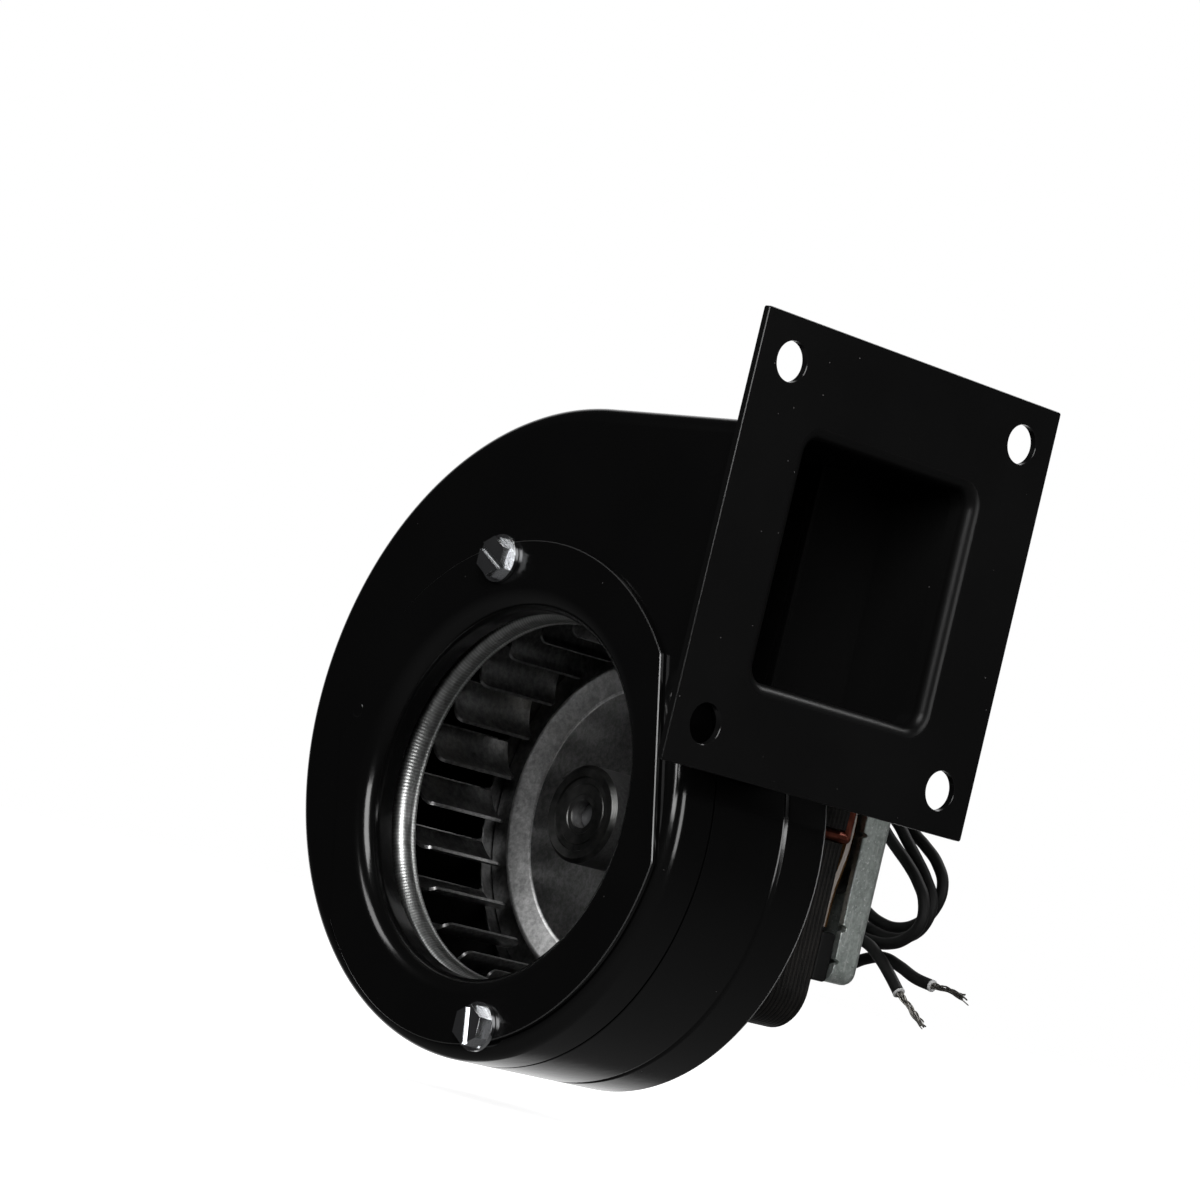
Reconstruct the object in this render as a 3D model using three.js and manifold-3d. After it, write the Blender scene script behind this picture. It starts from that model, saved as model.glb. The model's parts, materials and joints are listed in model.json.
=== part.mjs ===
// Shaded-pole centrifugal blower: a squirrel-cage wheel in a black sheet-steel scroll housing, with an inlet
// ring on one side and an open-frame motor on the other. Millimetres.
// The wheel and the shaft turn about an axis along +Y (inlet at -Y, motor at +Y). Air leaves along +X through
// the square flange. The origin is the middle of the flange's four-hole bolt pattern, on its outer face.

import * as THREE from "three";
import { mergeVertices } from "three/addons/utils/BufferGeometryUtils.js";
import Module from "manifold-3d";

const wasm = await Module();
wasm.setup();

// ---------- driving dimensions ----------
const SHEET = 0.9; // housing sheet thickness
const GAP = 0.3; // between pieces that touch
const FIT = 0.15; // between pieces that slide into each other

const AXIS = { x: -55.8, z: -49.8 }; // wheel and shaft axis

const FLANGE = { width: 75, height: 78.5, thick: 1.4, holeY: 29.5, holeZ: 31.5, holeR: 3.55 };
const OUTLET = { halfY: 20.8, bottom: -22.2, top: 20.4, corner: 3, flare: 2.4, depth: 5.5 };

// The scroll: three arcs that grow from the cut-off, round the bottom and the left, to the top line.
const SCROLL = {
  small: { x: -54.8, z: -52.2, r: 45.4 },
  middle: { x: -54.8, z: -40.4, r: 57.2 },
  large: { x: -50.4, z: -40.4, r: 61.6 },
  topRise: 1.58, // degrees that the top line climbs towards the outlet
  ductBottom: -24.3,
  cutoffR: 2.5,
  mouth: -1.7, // where the duct ends, just behind the flange
};
const HOUSING = { front: -22.8, seam: -13.5, rear: 14.5, cornerR: 3, tuck: 4.5, grooveY: 4.3, grooveDeep: 0.4 };
const PLATE = { y0: HOUSING.rear - 1.7, y1: HOUSING.rear - 1.7 + SHEET }; // the motor-side plate, set into the band
const BUMP = { rear: 22.8, start: -32, full: -22 }; // the duct widens on the motor side of the outlet

const INLET = { holeR: 39.3, plateR: 45.4, flat: 41.5, tilt: 16, throatR: 33.3, bellR: 3.7, throatEnd: -17.3 };
const SCREW = { ring: 42.6, headR: 3.65, washerR: 4.4, headH: 2.9, shankR: 1.95, length: 8 };

const WHEEL = {
  blades: 24, phase: 7.6, innerR: 31, outerR: 37.6, front: -15.8,
  bladeFront: -10.3, bladeRear: 8.4, rear: 11.9, strip: 0.6, discR: 25.5, discY: 10, coneR: 30.5, lipR: 32.6,
};
const HUB = { r: 9, front: -2, boreR: 2.5 };
const SHAFT = { r: 2.38, front: 0.5, rear: 47.6 };

const STACK = { halfX: 30, bottom: -79.2, top: -4, front: 21, rear: 35, cornerR: 8, boreR: 12.9, limb: 10 };
const ROTOR = { r: 12.5, ringInner: 7, ringH: 2.4 };
const YOKE = { z0: -18, z1: -4 }; // the bar that carries the coil
const COIL = { halfX: 18.7, build: 5.3, bobbinWall: 1 };
// A copper loop shades half of each pole: [x, z] of its two legs from the axis, in slots in the stack's edge.
const SHADING = { r: 1.1, lower: [28.6, 7], upper: [28.6, 18.8] };
const BRACKET = { halfX: 30.2, halfZ: 19, sheet: 1.4, cornerR: 2.5, frontY: 14, frontEdge: 18, rearY: 46.6, rearEdge: 39.3 };
const BOLT = { x: 21.8, r: 1.7, headR: 3.4, headH: 2.4, spacerR: 2.8 };
const BEARING = { r: 5.5, boreR: 2.47, front: [13.4, 19.8], rear: [40, 47] };
const LEAD = { r: 1.1, stripR: 0.6 };

// The leads' centre lines, from the coil to the end of the insulation, and on to the tips of the bare strands.
const LEAD_ROUTES = {
  outer: {
    insulated: [
      [-36.2, 39, -21.5], [-31.7, 39.7, -21.7], [-29.3, 43.2, -23], [-29.5, 47.3, -25.1],
      [-30.9, 50.9, -27.7], [-32.7, 53.5, -31], [-32.3, 54.9, -35.2], [-28.8, 55.1, -38.3],
      [-24.8, 55, -40.5], [-21, 55, -43.1], [-18.4, 55, -46.9], [-19.1, 55, -51.3], [-22.3, 55, -54.5],
      [-26.7, 55, -56.1], [-31.3, 55, -55.9], [-35.6, 54.9, -54.4], [-39.6, 54.6, -51.9],
      [-42.6, 54.1, -48.5], [-43.7, 53.6, -44.1], [-42.5, 53.2, -39.7], [-39.5, 52.8, -36.2],
      [-35.1, 52.6, -35.2], [-31, 52.6, -37.3], [-27.4, 52.6, -40.3], [-23.9, 52.7, -43.3],
      [-20.5, 52.6, -46.4], [-17.9, 52.7, -50.2], [-18.4, 52.6, -54.6], [-22, 52.6, -57.5],
      [-26.5, 52.7, -58.3], [-31.1, 52.9, -57.7], [-35.6, 53.1, -56.6], [-40.1, 53.5, -55.6],
      [-44.6, 53.9, -55.7], [-48.2, 54.3, -58.5], [-49.2, 54.6, -62.9], [-46.4, 54.9, -66.3],
      [-41.9, 55, -66.5], [-37.5, 55, -65], [-33.3, 55, -63], [-28.8, 55, -62], [-24.3, 55, -62.9],
      [-19.9, 55, -64.3], [-15.3, 55, -65],
    ],
    bare: [[-15.3, 55, -65], [-10.5, 55, -65], [-5.6, 55, -65.6]],
  },
  inner: {
    insulated: [
      [-36.2, 38.4, -17.2], [-32.2, 39.4, -17.4], [-30.5, 42.7, -19.1], [-31.2, 45.8, -21.8],
      [-32.8, 47.8, -25.2], [-34.3, 48.9, -29], [-35.1, 49.6, -33.1], [-33.6, 50.1, -37],
      [-30.5, 50.3, -39.9], [-27, 50.3, -42.3], [-23.5, 50.3, -44.6], [-20.2, 50.3, -47.3],
      [-17.6, 50.3, -50.6], [-17.2, 50.3, -54.7], [-19.9, 50.3, -57.8], [-23.8, 50.3, -59.4],
      [-28, 50.4, -59.6], [-32.2, 50.5, -59], [-36.3, 50.5, -57.9], [-40.4, 50.5, -56.6],
      [-44.5, 50.5, -55.7], [-48.7, 50.3, -56.2], [-52.1, 49.9, -58.6], [-53, 49.4, -62.5],
      [-50.2, 48.9, -65.5], [-46.1, 48.5, -66.5], [-42.1, 48.2, -65.4], [-38.4, 48.1, -63.3],
      [-34.7, 48, -61.2], [-30.7, 48, -59.8], [-26.6, 47.9, -60.3], [-22.9, 47.9, -62.3],
      [-19.5, 48, -64.9], [-16.2, 47.9, -67.6],
    ],
    bare: [[-16.2, 47.9, -67.6], [-12.4, 48, -70], [-8.2, 48, -72.8]],
  },
};

// ---------- materials ----------
const finish = (color, roughness, metalness) => new THREE.MeshStandardMaterial({ color, roughness, metalness });
const blackPaint = () => finish(0x0b0b0c, 0.25, 0.2);
const galvanised = () => finish(0x9aa19f, 0.45, 0.9);
const zincScrew = () => finish(0xd8d9da, 0.18, 1);
const steel = () => finish(0x8a8c8e, 0.35, 1);
const lamination = () => finish(0x4a4b4d, 0.5, 0.8);
const aluminium = () => finish(0xb9bcbf, 0.4, 1);
const copper = () => finish(0xb8684a, 0.3, 1);
const amberTape = () => finish(0x9a6420, 0.35, 0);
const blackPlastic = () => finish(0x141416, 0.45, 0);
const bronze = () => finish(0x9a7440, 0.5, 0.9);
const felt = () => finish(0xcfc8b4, 0.95, 0);
const tinned = () => finish(0xc9c9c4, 0.3, 1);

const blower = new THREE.Group();

// ---------- solids ----------
// A closed three.js geometry as a solid.
function solid(geometry) {
  const bare = geometry.index ? geometry.toNonIndexed() : geometry.clone();
  bare.deleteAttribute("normal");
  bare.deleteAttribute("uv");
  const merged = mergeVertices(bare, 1e-4);
  return new wasm.Manifold(
    new wasm.Mesh({
      numProp: 3,
      vertProperties: merged.attributes.position.array,
      triVerts: new Uint32Array(merged.index.array),
    }),
  );
}

// A solid as a named mesh of the blower.
function piece(name, body, material) {
  const out = body.getMesh();
  const geometry = new THREE.BufferGeometry();
  geometry.setAttribute("position", new THREE.BufferAttribute(new Float32Array(out.vertProperties), 3));
  geometry.setIndex(new THREE.BufferAttribute(new Uint32Array(out.triVerts), 1));
  geometry.computeVertexNormals();
  const mesh = new THREE.Mesh(geometry, material);
  mesh.name = name;
  blower.add(mesh);
  return mesh;
}

// An outline drawn in x and z, from y0 to y1. A round of radius bevel can be put on both ends.
function slabY(shape, y0, y1, { curve = 8, bevel = 0, bevelSegments = 2 } = {}) {
  const geometry = new THREE.ExtrudeGeometry(shape, {
    depth: y1 - y0 - 2 * bevel,
    curveSegments: curve,
    bevelEnabled: bevel > 0,
    bevelThickness: bevel,
    bevelSize: bevel,
    bevelOffset: -bevel,
    bevelSegments,
  });
  geometry.rotateX(Math.PI / 2);
  geometry.translate(0, y1 - bevel, 0);
  return solid(geometry);
}

// An outline drawn in y and z, from x0 to x1. Past x1 it can open out by flare, as a round of that radius.
function slabX(shape, x0, x1, { curve = 3, flare = 0 } = {}) {
  const geometry = new THREE.ExtrudeGeometry(shape, {
    depth: x1 - x0,
    curveSegments: curve,
    bevelEnabled: flare > 0,
    bevelThickness: flare,
    bevelSize: -flare,
    bevelOffset: flare,
    bevelSegments: 2,
  });
  const [x, y, z] = [new THREE.Vector3(1, 0, 0), new THREE.Vector3(0, 1, 0), new THREE.Vector3(0, 0, 1)];
  geometry.applyMatrix4(new THREE.Matrix4().makeBasis(y, z, x).setPosition(x0, 0, 0));
  return solid(geometry);
}

function box(x0, x1, y0, y1, z0, z1) {
  const geometry = new THREE.BoxGeometry(x1 - x0, y1 - y0, z1 - z0);
  geometry.translate((x0 + x1) / 2, (y0 + y1) / 2, (z0 + z1) / 2);
  return solid(geometry);
}

// A profile of [radius, y] points turned about the line along Y through (x, z).
function turned(profile, { x = AXIS.x, z = AXIS.z, sides = 24 } = {}) {
  const closed = [...profile];
  const [first, last] = [profile[0], profile[profile.length - 1]];
  if (first[0] > 0 || last[0] > 0) closed.push(first);
  const make = (points) => {
    const geometry = new THREE.LatheGeometry(points.map(([r, y]) => new THREE.Vector2(r, y)), sides);
    geometry.translate(x, 0, z);
    return solid(geometry);
  };
  const body = make(closed);
  return body.volume() > 0 ? body : make(closed.reverse());
}

function rodY(r, y0, y1, options) {
  return turned([[0, y0], [r, y0], [r, y1], [0, y1]], options);
}

function tubeY(outer, inner, y0, y1, options) {
  return turned([[inner, y0], [outer, y0], [outer, y1], [inner, y1]], options);
}

// A rectangle with rounded corners, as a shape of two coordinates.
function roundedRect(u0, u1, v0, v1, r) {
  const s = new THREE.Shape();
  s.absarc(u1 - r, v1 - r, r, 0, Math.PI / 2, false);
  s.absarc(u0 + r, v1 - r, r, Math.PI / 2, Math.PI, false);
  s.absarc(u0 + r, v0 + r, r, Math.PI, 1.5 * Math.PI, false);
  s.absarc(u1 - r, v0 + r, r, 1.5 * Math.PI, 2 * Math.PI, false);
  s.closePath();
  return s;
}

// A round section swept along a smooth line through the points.
function cable(points, r, steps) {
  const route = new THREE.CatmullRomCurve3(points.map((p) => new THREE.Vector3(...p)), false, "centripetal");
  const section = new THREE.Shape();
  section.absarc(0, 0, r, 0, 2 * Math.PI, false);
  return solid(
    new THREE.ExtrudeGeometry(section, { steps, curveSegments: 4, extrudePath: route, bevelEnabled: false }),
  );
}

const radians = THREE.MathUtils.degToRad;

// ---------- housing ----------
// The outline of the scroll and its duct in x and z, moved inwards by inset, with the duct's end at x = mouth.
function scrollOutline(inset, mouth = SCROLL.mouth) {
  const { small, middle, large, cutoffR, ductBottom } = SCROLL;
  const rise = radians(SCROLL.topRise);
  const cutZ = ductBottom - cutoffR;
  const cutX = small.x + Math.sqrt((small.r + cutoffR) ** 2 - (cutZ - small.z) ** 2);
  const cutAngle = Math.atan2(cutZ - small.z, cutX - small.x);
  const topX = large.x - (large.r - inset) * Math.sin(rise);
  const topZ = large.z + (large.r - inset) * Math.cos(rise);
  const s = new THREE.Shape();
  s.moveTo(mouth, ductBottom + inset);
  s.lineTo(cutX + 0.5, ductBottom + inset);
  s.absarc(cutX, cutZ, cutoffR + inset, Math.PI / 2, cutAngle + Math.PI, false);
  s.absarc(small.x, small.z, small.r - inset, cutAngle, -Math.PI / 2, true);
  s.absarc(middle.x, middle.z, middle.r - inset, -Math.PI / 2, -Math.PI, true);
  s.absarc(large.x, large.z, large.r - inset, Math.PI, Math.PI / 2 + rise, true);
  s.lineTo(mouth, topZ + Math.tan(rise) * (mouth - topX));
  s.closePath();
  return s;
}

const OPEN = 10; // how far a cutter runs past the face that it opens

function inletShell() {
  const { front, seam, cornerR } = HOUSING;
  const outside = slabY(scrollOutline(0), front, seam + 2 * cornerR, { bevel: cornerR });
  const inside = slabY(scrollOutline(SHEET, OPEN), front + SHEET, seam + 2 * OPEN, { bevel: cornerR - SHEET });
  const ahead = box(-200, 100, front - OPEN, seam, -200, 100);
  const bore = rodY(INLET.holeR, front - 1, front + 2, { sides: 40 });
  let shell = outside.intersect(ahead).subtract(inside).subtract(bore);
  for (const side of [1, -1]) shell = shell.subtract(screwHole(side, front - 1, front + 3));
  return shell;
}

// The middle of an inlet screw: side is 1 for the upper one and -1 for the lower one.
function screwAt(side) {
  const a = radians(INLET.tilt + 90);
  return { x: AXIS.x + side * SCREW.ring * Math.cos(a), z: AXIS.z + side * SCREW.ring * Math.sin(a) };
}

function screwHole(side, y0, y1) {
  return rodY(SCREW.shankR + FIT, y0, y1, { ...screwAt(side), sides: 12 });
}

// The widening of the duct on the motor side, as a block from y = low whose walls lie inset inside the outer one.
function ductBump(inset, mouth, low) {
  const { rear, start, full } = BUMP;
  const plan = new THREE.Shape();
  plan.moveTo(start + 1.6 * inset, low);
  plan.lineTo(start + 1.6 * inset, HOUSING.rear - inset);
  plan.lineTo(full + 0.4 * inset, rear - inset);
  plan.lineTo(mouth, rear - inset);
  plan.lineTo(mouth, low);
  plan.closePath();
  const depth = 60;
  const geometry = new THREE.ExtrudeGeometry(plan, { depth, bevelEnabled: false });
  geometry.translate(0, 0, SCROLL.ductBottom + inset);
  return solid(geometry).intersect(slabY(scrollOutline(inset, mouth), low, rear));
}

function scrollShell() {
  const { seam, rear, tuck, grooveY, grooveDeep } = HOUSING;
  const lipOut = SHEET + FIT;
  const lipIn = 2 * SHEET + FIT;
  const start = seam + GAP;
  const band = slabY(scrollOutline(0), start, rear);
  const lip = slabY(scrollOutline(lipOut), seam - tuck, start + SHEET).subtract(
    box(-OUTLET.depth - GAP, OPEN, seam - tuck - 1, start, -100, 100),
  );
  const lipBore = slabY(scrollOutline(lipIn, OPEN), seam - tuck - OPEN, start + SHEET);
  const bore = slabY(scrollOutline(SHEET, OPEN), start + SHEET - 0.01, rear + OPEN);
  const bump = ductBump(0, SCROLL.mouth, PLATE.y0).subtract(ductBump(SHEET, OPEN, PLATE.y0 - 1));
  const collarX = -OUTLET.depth - GAP;
  const collarRoom = slabY(scrollOutline(SHEET, OPEN), seam - tuck - 1, rear).intersect(
    box(collarX, OPEN, -100, 100, -100, 100),
  );
  const groove = slabY(scrollOutline(-2), grooveY - 0.5, grooveY + 0.5).subtract(
    slabY(scrollOutline(grooveDeep), grooveY - 1, grooveY + 1),
  );
  return band
    .add(lip)
    .subtract(groove)
    .subtract(lipBore)
    .subtract(bore)
    .subtract(collarRoom)
    .add(bump);
}

function motorPlate() {
  const { y0, y1 } = PLATE;
  let plate = slabY(scrollOutline(SHEET + FIT), y0, y1);
  plate = plate.subtract(box(BUMP.start - GAP, 100, y0 - 1, y1 + 1, SCROLL.ductBottom - GAP, 100));
  plate = plate.subtract(rodY(BEARING.r + 3.2, y0 - 1, y1 + 1, { sides: 24 }));
  for (const side of [1, -1]) plate = plate.subtract(boltHole(side, y0 - 1, y1 + 1));
  return plate;
}

function outletFlange() {
  const { width, height, thick, holeY, holeZ, holeR } = FLANGE;
  const { halfY, bottom, top, corner, flare, depth } = OUTLET;
  const opening = (grow) => roundedRect(-halfY - grow, halfY + grow, bottom - grow, top + grow, corner + grow);
  let plate = slabX(roundedRect(-width / 2, width / 2, -height / 2, height / 2, 0.4), -thick, 0);
  const skirt = slabX(opening(SHEET), -depth, -thick / 2);
  plate = plate.add(skirt);
  plate = plate.subtract(slabX(opening(0), -OPEN, 0.01 - flare, { flare }));
  for (const y of [-holeY, holeY])
    for (const z of [-holeZ, holeZ]) {
      const hole = new THREE.Shape();
      hole.absarc(y, z, holeR, 0, 2 * Math.PI, false);
      plate = plate.subtract(slabX(hole, -OPEN, OPEN, { curve: 12 }));
    }
  return plate;
}

// The inlet ring: a round plate with two flats and a rounded lip that runs in to the wheel.
function inletPlate() {
  const { plateR, flat, tilt, throatR, bellR, throatEnd } = INLET;
  const back = HOUSING.front - GAP;
  const face = back - SHEET;
  const bell = (r, y, radius) =>
    [0, 30, 60, 90].map((a) => [r + radius - radius * Math.sin(radians(a)), y + radius - radius * Math.cos(radians(a))]);
  const outer = bell(throatR, face, bellR);
  const inner = bell(throatR + SHEET, back, bellR - SHEET);
  const profile = [[plateR, face], ...outer, [throatR, throatEnd], [throatR + SHEET, throatEnd]];
  let plate = turned([...profile, ...inner.reverse(), [plateR, back]], { sides: 64 });
  const keep = box(-flat, flat, -100, 100, -100, 100).rotate([0, -tilt, 0]).translate([AXIS.x, 0, AXIS.z]);
  plate = plate.intersect(keep);
  for (const side of [1, -1]) plate = plate.subtract(screwHole(side, face - 1, back + 1));
  return plate;
}

// A slotted hex washer-head sheet-metal screw, driven in along +Y.
function inletScrew(side, slotAngle) {
  const { headR, washerR, headH, shankR, length } = SCREW;
  const at = screwAt(side);
  const seat = HOUSING.front - GAP - SHEET - 0.1;
  const washer = rodY(washerR, seat - 0.8, seat, { ...at, sides: 24 });
  const hex = rodY(headR, seat - headH, seat - 0.4, { ...at, sides: 6 });
  const shank = turned(
    [[0, seat - 1], [shankR, seat - 1], [shankR, seat + length - 2], [0.4, seat + length], [0, seat + length]],
    { ...at, sides: 12 },
  );
  const slot = new THREE.BoxGeometry(2 * headR, 1.2, 1.1);
  slot.rotateY(radians(slotAngle));
  slot.translate(at.x, seat - headH, at.z);
  return washer.add(hex).add(shank).subtract(solid(slot));
}

piece("inlet_shell", inletShell(), blackPaint());
piece("scroll_shell", scrollShell(), blackPaint());
piece("motor_side_plate", motorPlate(), blackPaint());
piece("outlet_flange", outletFlange(), blackPaint());
piece("inlet_ring_plate", inletPlate(), blackPaint());
piece("inlet_screw_upper", inletScrew(1, 28), zincScrew());
piece("inlet_screw_lower", inletScrew(-1, 78), zincScrew());

// ---------- wheel ----------
// One blade in the wheel's own x and z: a strip that curves from the inner to the outer radius.
function bladeShape(angle) {
  const { innerR, outerR, strip } = WHEEL;
  const lean = 9; // degrees that the outer edge lags behind the inner one
  const steps = 3;
  const middle = [];
  for (let i = 0; i <= steps; i++) {
    const t = i / steps;
    const r = innerR + t * (outerR - 0.25 - innerR);
    const a = radians(angle - lean * t * t);
    middle.push([AXIS.x + r * Math.cos(a), AXIS.z + r * Math.sin(a)]);
  }
  const side = (sign) =>
    middle.map(([x, z], i) => {
      const [ax, az] = middle[Math.max(i - 1, 0)];
      const [bx, bz] = middle[Math.min(i + 1, steps)];
      const length = Math.hypot(bx - ax, bz - az);
      return new THREE.Vector2(x - (sign * strip * (bz - az)) / 2 / length, z + (sign * strip * (bx - ax)) / 2 / length);
    });
  return new THREE.Shape([...side(1), ...side(-1).reverse()]);
}

function bladeCage() {
  const { blades, phase, outerR, strip, front, bladeFront, bladeRear, rear } = WHEEL;
  const sides = 2 * blades;
  let cage = tubeY(outerR, outerR - strip, front + 2.1, bladeFront, { sides });
  cage = cage.add(tubeY(outerR, outerR - strip, bladeRear, rear, { sides }));
  for (let i = 0; i < blades; i++) {
    const angle = phase + (360 / blades) * i;
    cage = cage.add(slabY(bladeShape(angle), bladeFront - 0.8, bladeRear + 0.8));
  }
  return cage;
}

function frontRing() {
  const { lipR, outerR, front } = WHEEL;
  const skirt = outerR + FIT;
  const profile = [
    [lipR, front + 3.6], [lipR + 0.3, front + 1.6], [lipR + 1, front + 0.5], [lipR + 2.1, front], [skirt + 0.6, front],
    [skirt + 0.6, front + 4.6], [skirt, front + 4.6], [skirt, front + 0.9], [lipR + 2.2, front + 0.9],
    [lipR + 1.6, front + 1.2], [lipR + 1.1, front + 1.9], [lipR + 0.8, front + 3.6],
  ];
  return turned(profile, { sides: 48 });
}

// The flat disc sits behind a shallow cone and a shoulder that reaches back to the rim.
function backPlate() {
  const { outerR, strip, discR, discY, coneR, rear } = WHEEL;
  const t = 0.8;
  const rim = outerR - strip - FIT;
  const bore = 5.4;
  return turned(
    [
      [bore, discY], [discR, discY], [coneR, discY - 0.75], [coneR + 0.6, discY - 0.5], [coneR + 1.4, rear - 0.9],
      [rim, rear - 0.9], [rim, rear - 0.9 + t], [coneR + 0.8, rear - 0.9 + t], [coneR - 0.2, discY + 0.1],
      [discR + 0.1, discY + t], [bore, discY + t],
    ],
    { sides: 48 },
  );
}

function wheelHub() {
  const { r, front, boreR } = HUB;
  const seat = WHEEL.discY - FIT;
  const neck = 5.2;
  const body = turned(
    [
      [boreR, front + 0.5], [r - 0.7, front], [r, front + 0.7], [r, seat], [neck, seat],
      [neck, WHEEL.discY + 1.4], [boreR, WHEEL.discY + 1.4],
    ],
    { sides: 36 },
  );
  return body.subtract(setScrewHole(1.75 + FIT, HUB.r + 1));
}

// A radial cylinder in the hub, square to the shaft's flat.
function setScrewHole(radius, reach) {
  const geometry = new THREE.CylinderGeometry(radius, radius, reach, 12);
  geometry.translate(AXIS.x, reach / 2, 0);
  geometry.rotateX(Math.PI / 2);
  geometry.translate(0, 3.2, AXIS.z);
  return solid(geometry);
}

function hubSetScrew() {
  const bottom = box(AXIS.x - 5, AXIS.x + 5, -5, 10, AXIS.z, AXIS.z + SHAFT.r + FIT);
  const socket = box(AXIS.x - 0.9, AXIS.x + 0.9, 2.3, 4.1, AXIS.z + 6.8, AXIS.z + 12);
  return setScrewHole(1.75, HUB.r - 0.7).subtract(bottom).subtract(socket);
}

function motorShaft() {
  const { r, front, rear } = SHAFT;
  return turned(
    [[0, front], [r - 0.4, front], [r, front + 0.4], [r, rear - 0.4], [r - 0.4, rear], [0, rear]],
    { sides: 24 },
  );
}

piece("wheel_blade_cage", bladeCage(), galvanised());
piece("wheel_front_ring", frontRing(), galvanised());
piece("wheel_back_plate", backPlate(), galvanised());
piece("wheel_hub", wheelHub(), steel());
piece("hub_set_screw", hubSetScrew(), steel());
piece("motor_shaft", motorShaft(), steel());

// ---------- motor ----------
const rotorBore = SHAFT.r + 0.12;

function statorCore() {
  const { halfX, bottom, top, front, rear, cornerR, boreR, limb } = STACK;
  const [x0, x1] = [AXIS.x - halfX, AXIS.x + halfX];
  let core = slabY(roundedRect(x0, x1, bottom, top, cornerR), front, rear, { curve: 5 });
  core = core.subtract(box(x0 + limb, x1 - limb, front - 1, rear + 1, -26, 10));
  core = core.subtract(rodY(boreR, front - 1, rear + 1, { sides: 36 }));
  for (const side of [1, -1]) {
    core = core.subtract(rodY(BOLT.r + FIT, front - 1, rear + 1, { x: AXIS.x + side * BOLT.x, sides: 12 }));
    core = core.subtract(shadingSlots(side));
  }
  return core;
}

// Where the legs of a shading loop stand: side is 1 towards the outlet and -1 away from it.
function shadingLegs(side) {
  return [SHADING.lower, SHADING.upper].map(([x, z]) => [AXIS.x + side * x, AXIS.z + side * z]);
}

function shadingSlots(side) {
  const half = SHADING.r + FIT;
  const slots = shadingLegs(side).map(([x, z]) => {
    const [x0, x1] = [x - side * half, x + side * OPEN].sort((a, b) => a - b);
    return box(x0, x1, STACK.front - 1, STACK.rear + 1, z - half, z + half);
  });
  return slots[0].add(slots[1]);
}

function shadingLoop(side) {
  const { r } = SHADING;
  const ends = [STACK.front - r - GAP, STACK.rear + r + GAP];
  const [lower, upper] = shadingLegs(side);
  const corners = [
    [lower, ends[0]], [lower, ends[1]], [upper, ends[1]], [upper, ends[0]],
  ].map(([[x, z], y]) => new THREE.Vector3(x, y, z));
  let loop = null;
  corners.forEach((a, i) => {
    const b = corners[(i + 1) % corners.length];
    const along = b.clone().sub(a);
    const leg = new THREE.CylinderGeometry(r, r, along.length(), 10);
    leg.applyQuaternion(new THREE.Quaternion().setFromUnitVectors(new THREE.Vector3(0, 1, 0), along.normalize()));
    leg.translate((a.x + b.x) / 2, (a.y + b.y) / 2, (a.z + b.z) / 2);
    const knuckle = new THREE.SphereGeometry(r + 0.04, 12, 7);
    knuckle.translate(a.x, a.y, a.z);
    const part = solid(leg).add(solid(knuckle));
    loop = loop ? loop.add(part) : part;
  });
  return loop;
}

// The bar between the limbs that carries the coil.
function coilBar() {
  const { halfX, front, rear, limb } = STACK;
  const reach = halfX - limb - GAP;
  return box(AXIS.x - reach, AXIS.x + reach, front, rear, YOKE.z0, YOKE.z1);
}

function coilBobbin() {
  const { halfX, build, bobbinWall: t } = COIL;
  const { front: y0, rear: y1 } = STACK;
  const sleeve = (grow, reach) =>
    box(AXIS.x - reach, AXIS.x + reach, y0 - grow, y1 + grow, YOKE.z0 - grow, YOKE.z1 + grow);
  let body = sleeve(FIT + t, halfX);
  for (const side of [1, -1]) {
    const x0 = AXIS.x + side * (halfX - t / 2) - t / 2;
    body = body.add(box(x0, x0 + t, y0 - build, y1 + build, YOKE.z0 - build, YOKE.z1 + build));
  }
  return body.subtract(sleeve(FIT, halfX + 1));
}

function coilWinding() {
  const { halfX, build, bobbinWall: t } = COIL;
  const { front: y0, rear: y1 } = STACK;
  const reach = halfX - t - GAP;
  const wrap = (grow, r) => {
    const { z0, z1 } = YOKE;
    return slabX(roundedRect(y0 - grow, y1 + grow, z0 - grow, z1 + grow, r), AXIS.x - reach, AXIS.x + reach);
  };
  const core = 2 * FIT + t;
  const hollow = box(AXIS.x - 30, AXIS.x + 30, y0 - core, y1 + core, YOKE.z0 - core, YOKE.z1 + core);
  return wrap(build - GAP, 3).subtract(hollow);
}

function rotorCore() {
  return tubeY(ROTOR.r, rotorBore, STACK.front, STACK.rear, { sides: 36 });
}

// A cast end ring: side is -1 in front of the core and 1 behind it.
function rotorEndRing(side) {
  const seat = side < 0 ? STACK.front - GAP : STACK.rear + GAP;
  const tip = seat + side * ROTOR.ringH;
  return tubeY(ROTOR.r - 0.4, ROTOR.ringInner, Math.min(seat, tip), Math.max(seat, tip), { sides: 36 });
}

function boltHole(side, y0, y1) {
  return rodY(BOLT.r + FIT, y0, y1, { x: AXIS.x + side * BOLT.x, sides: 12 });
}

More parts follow.
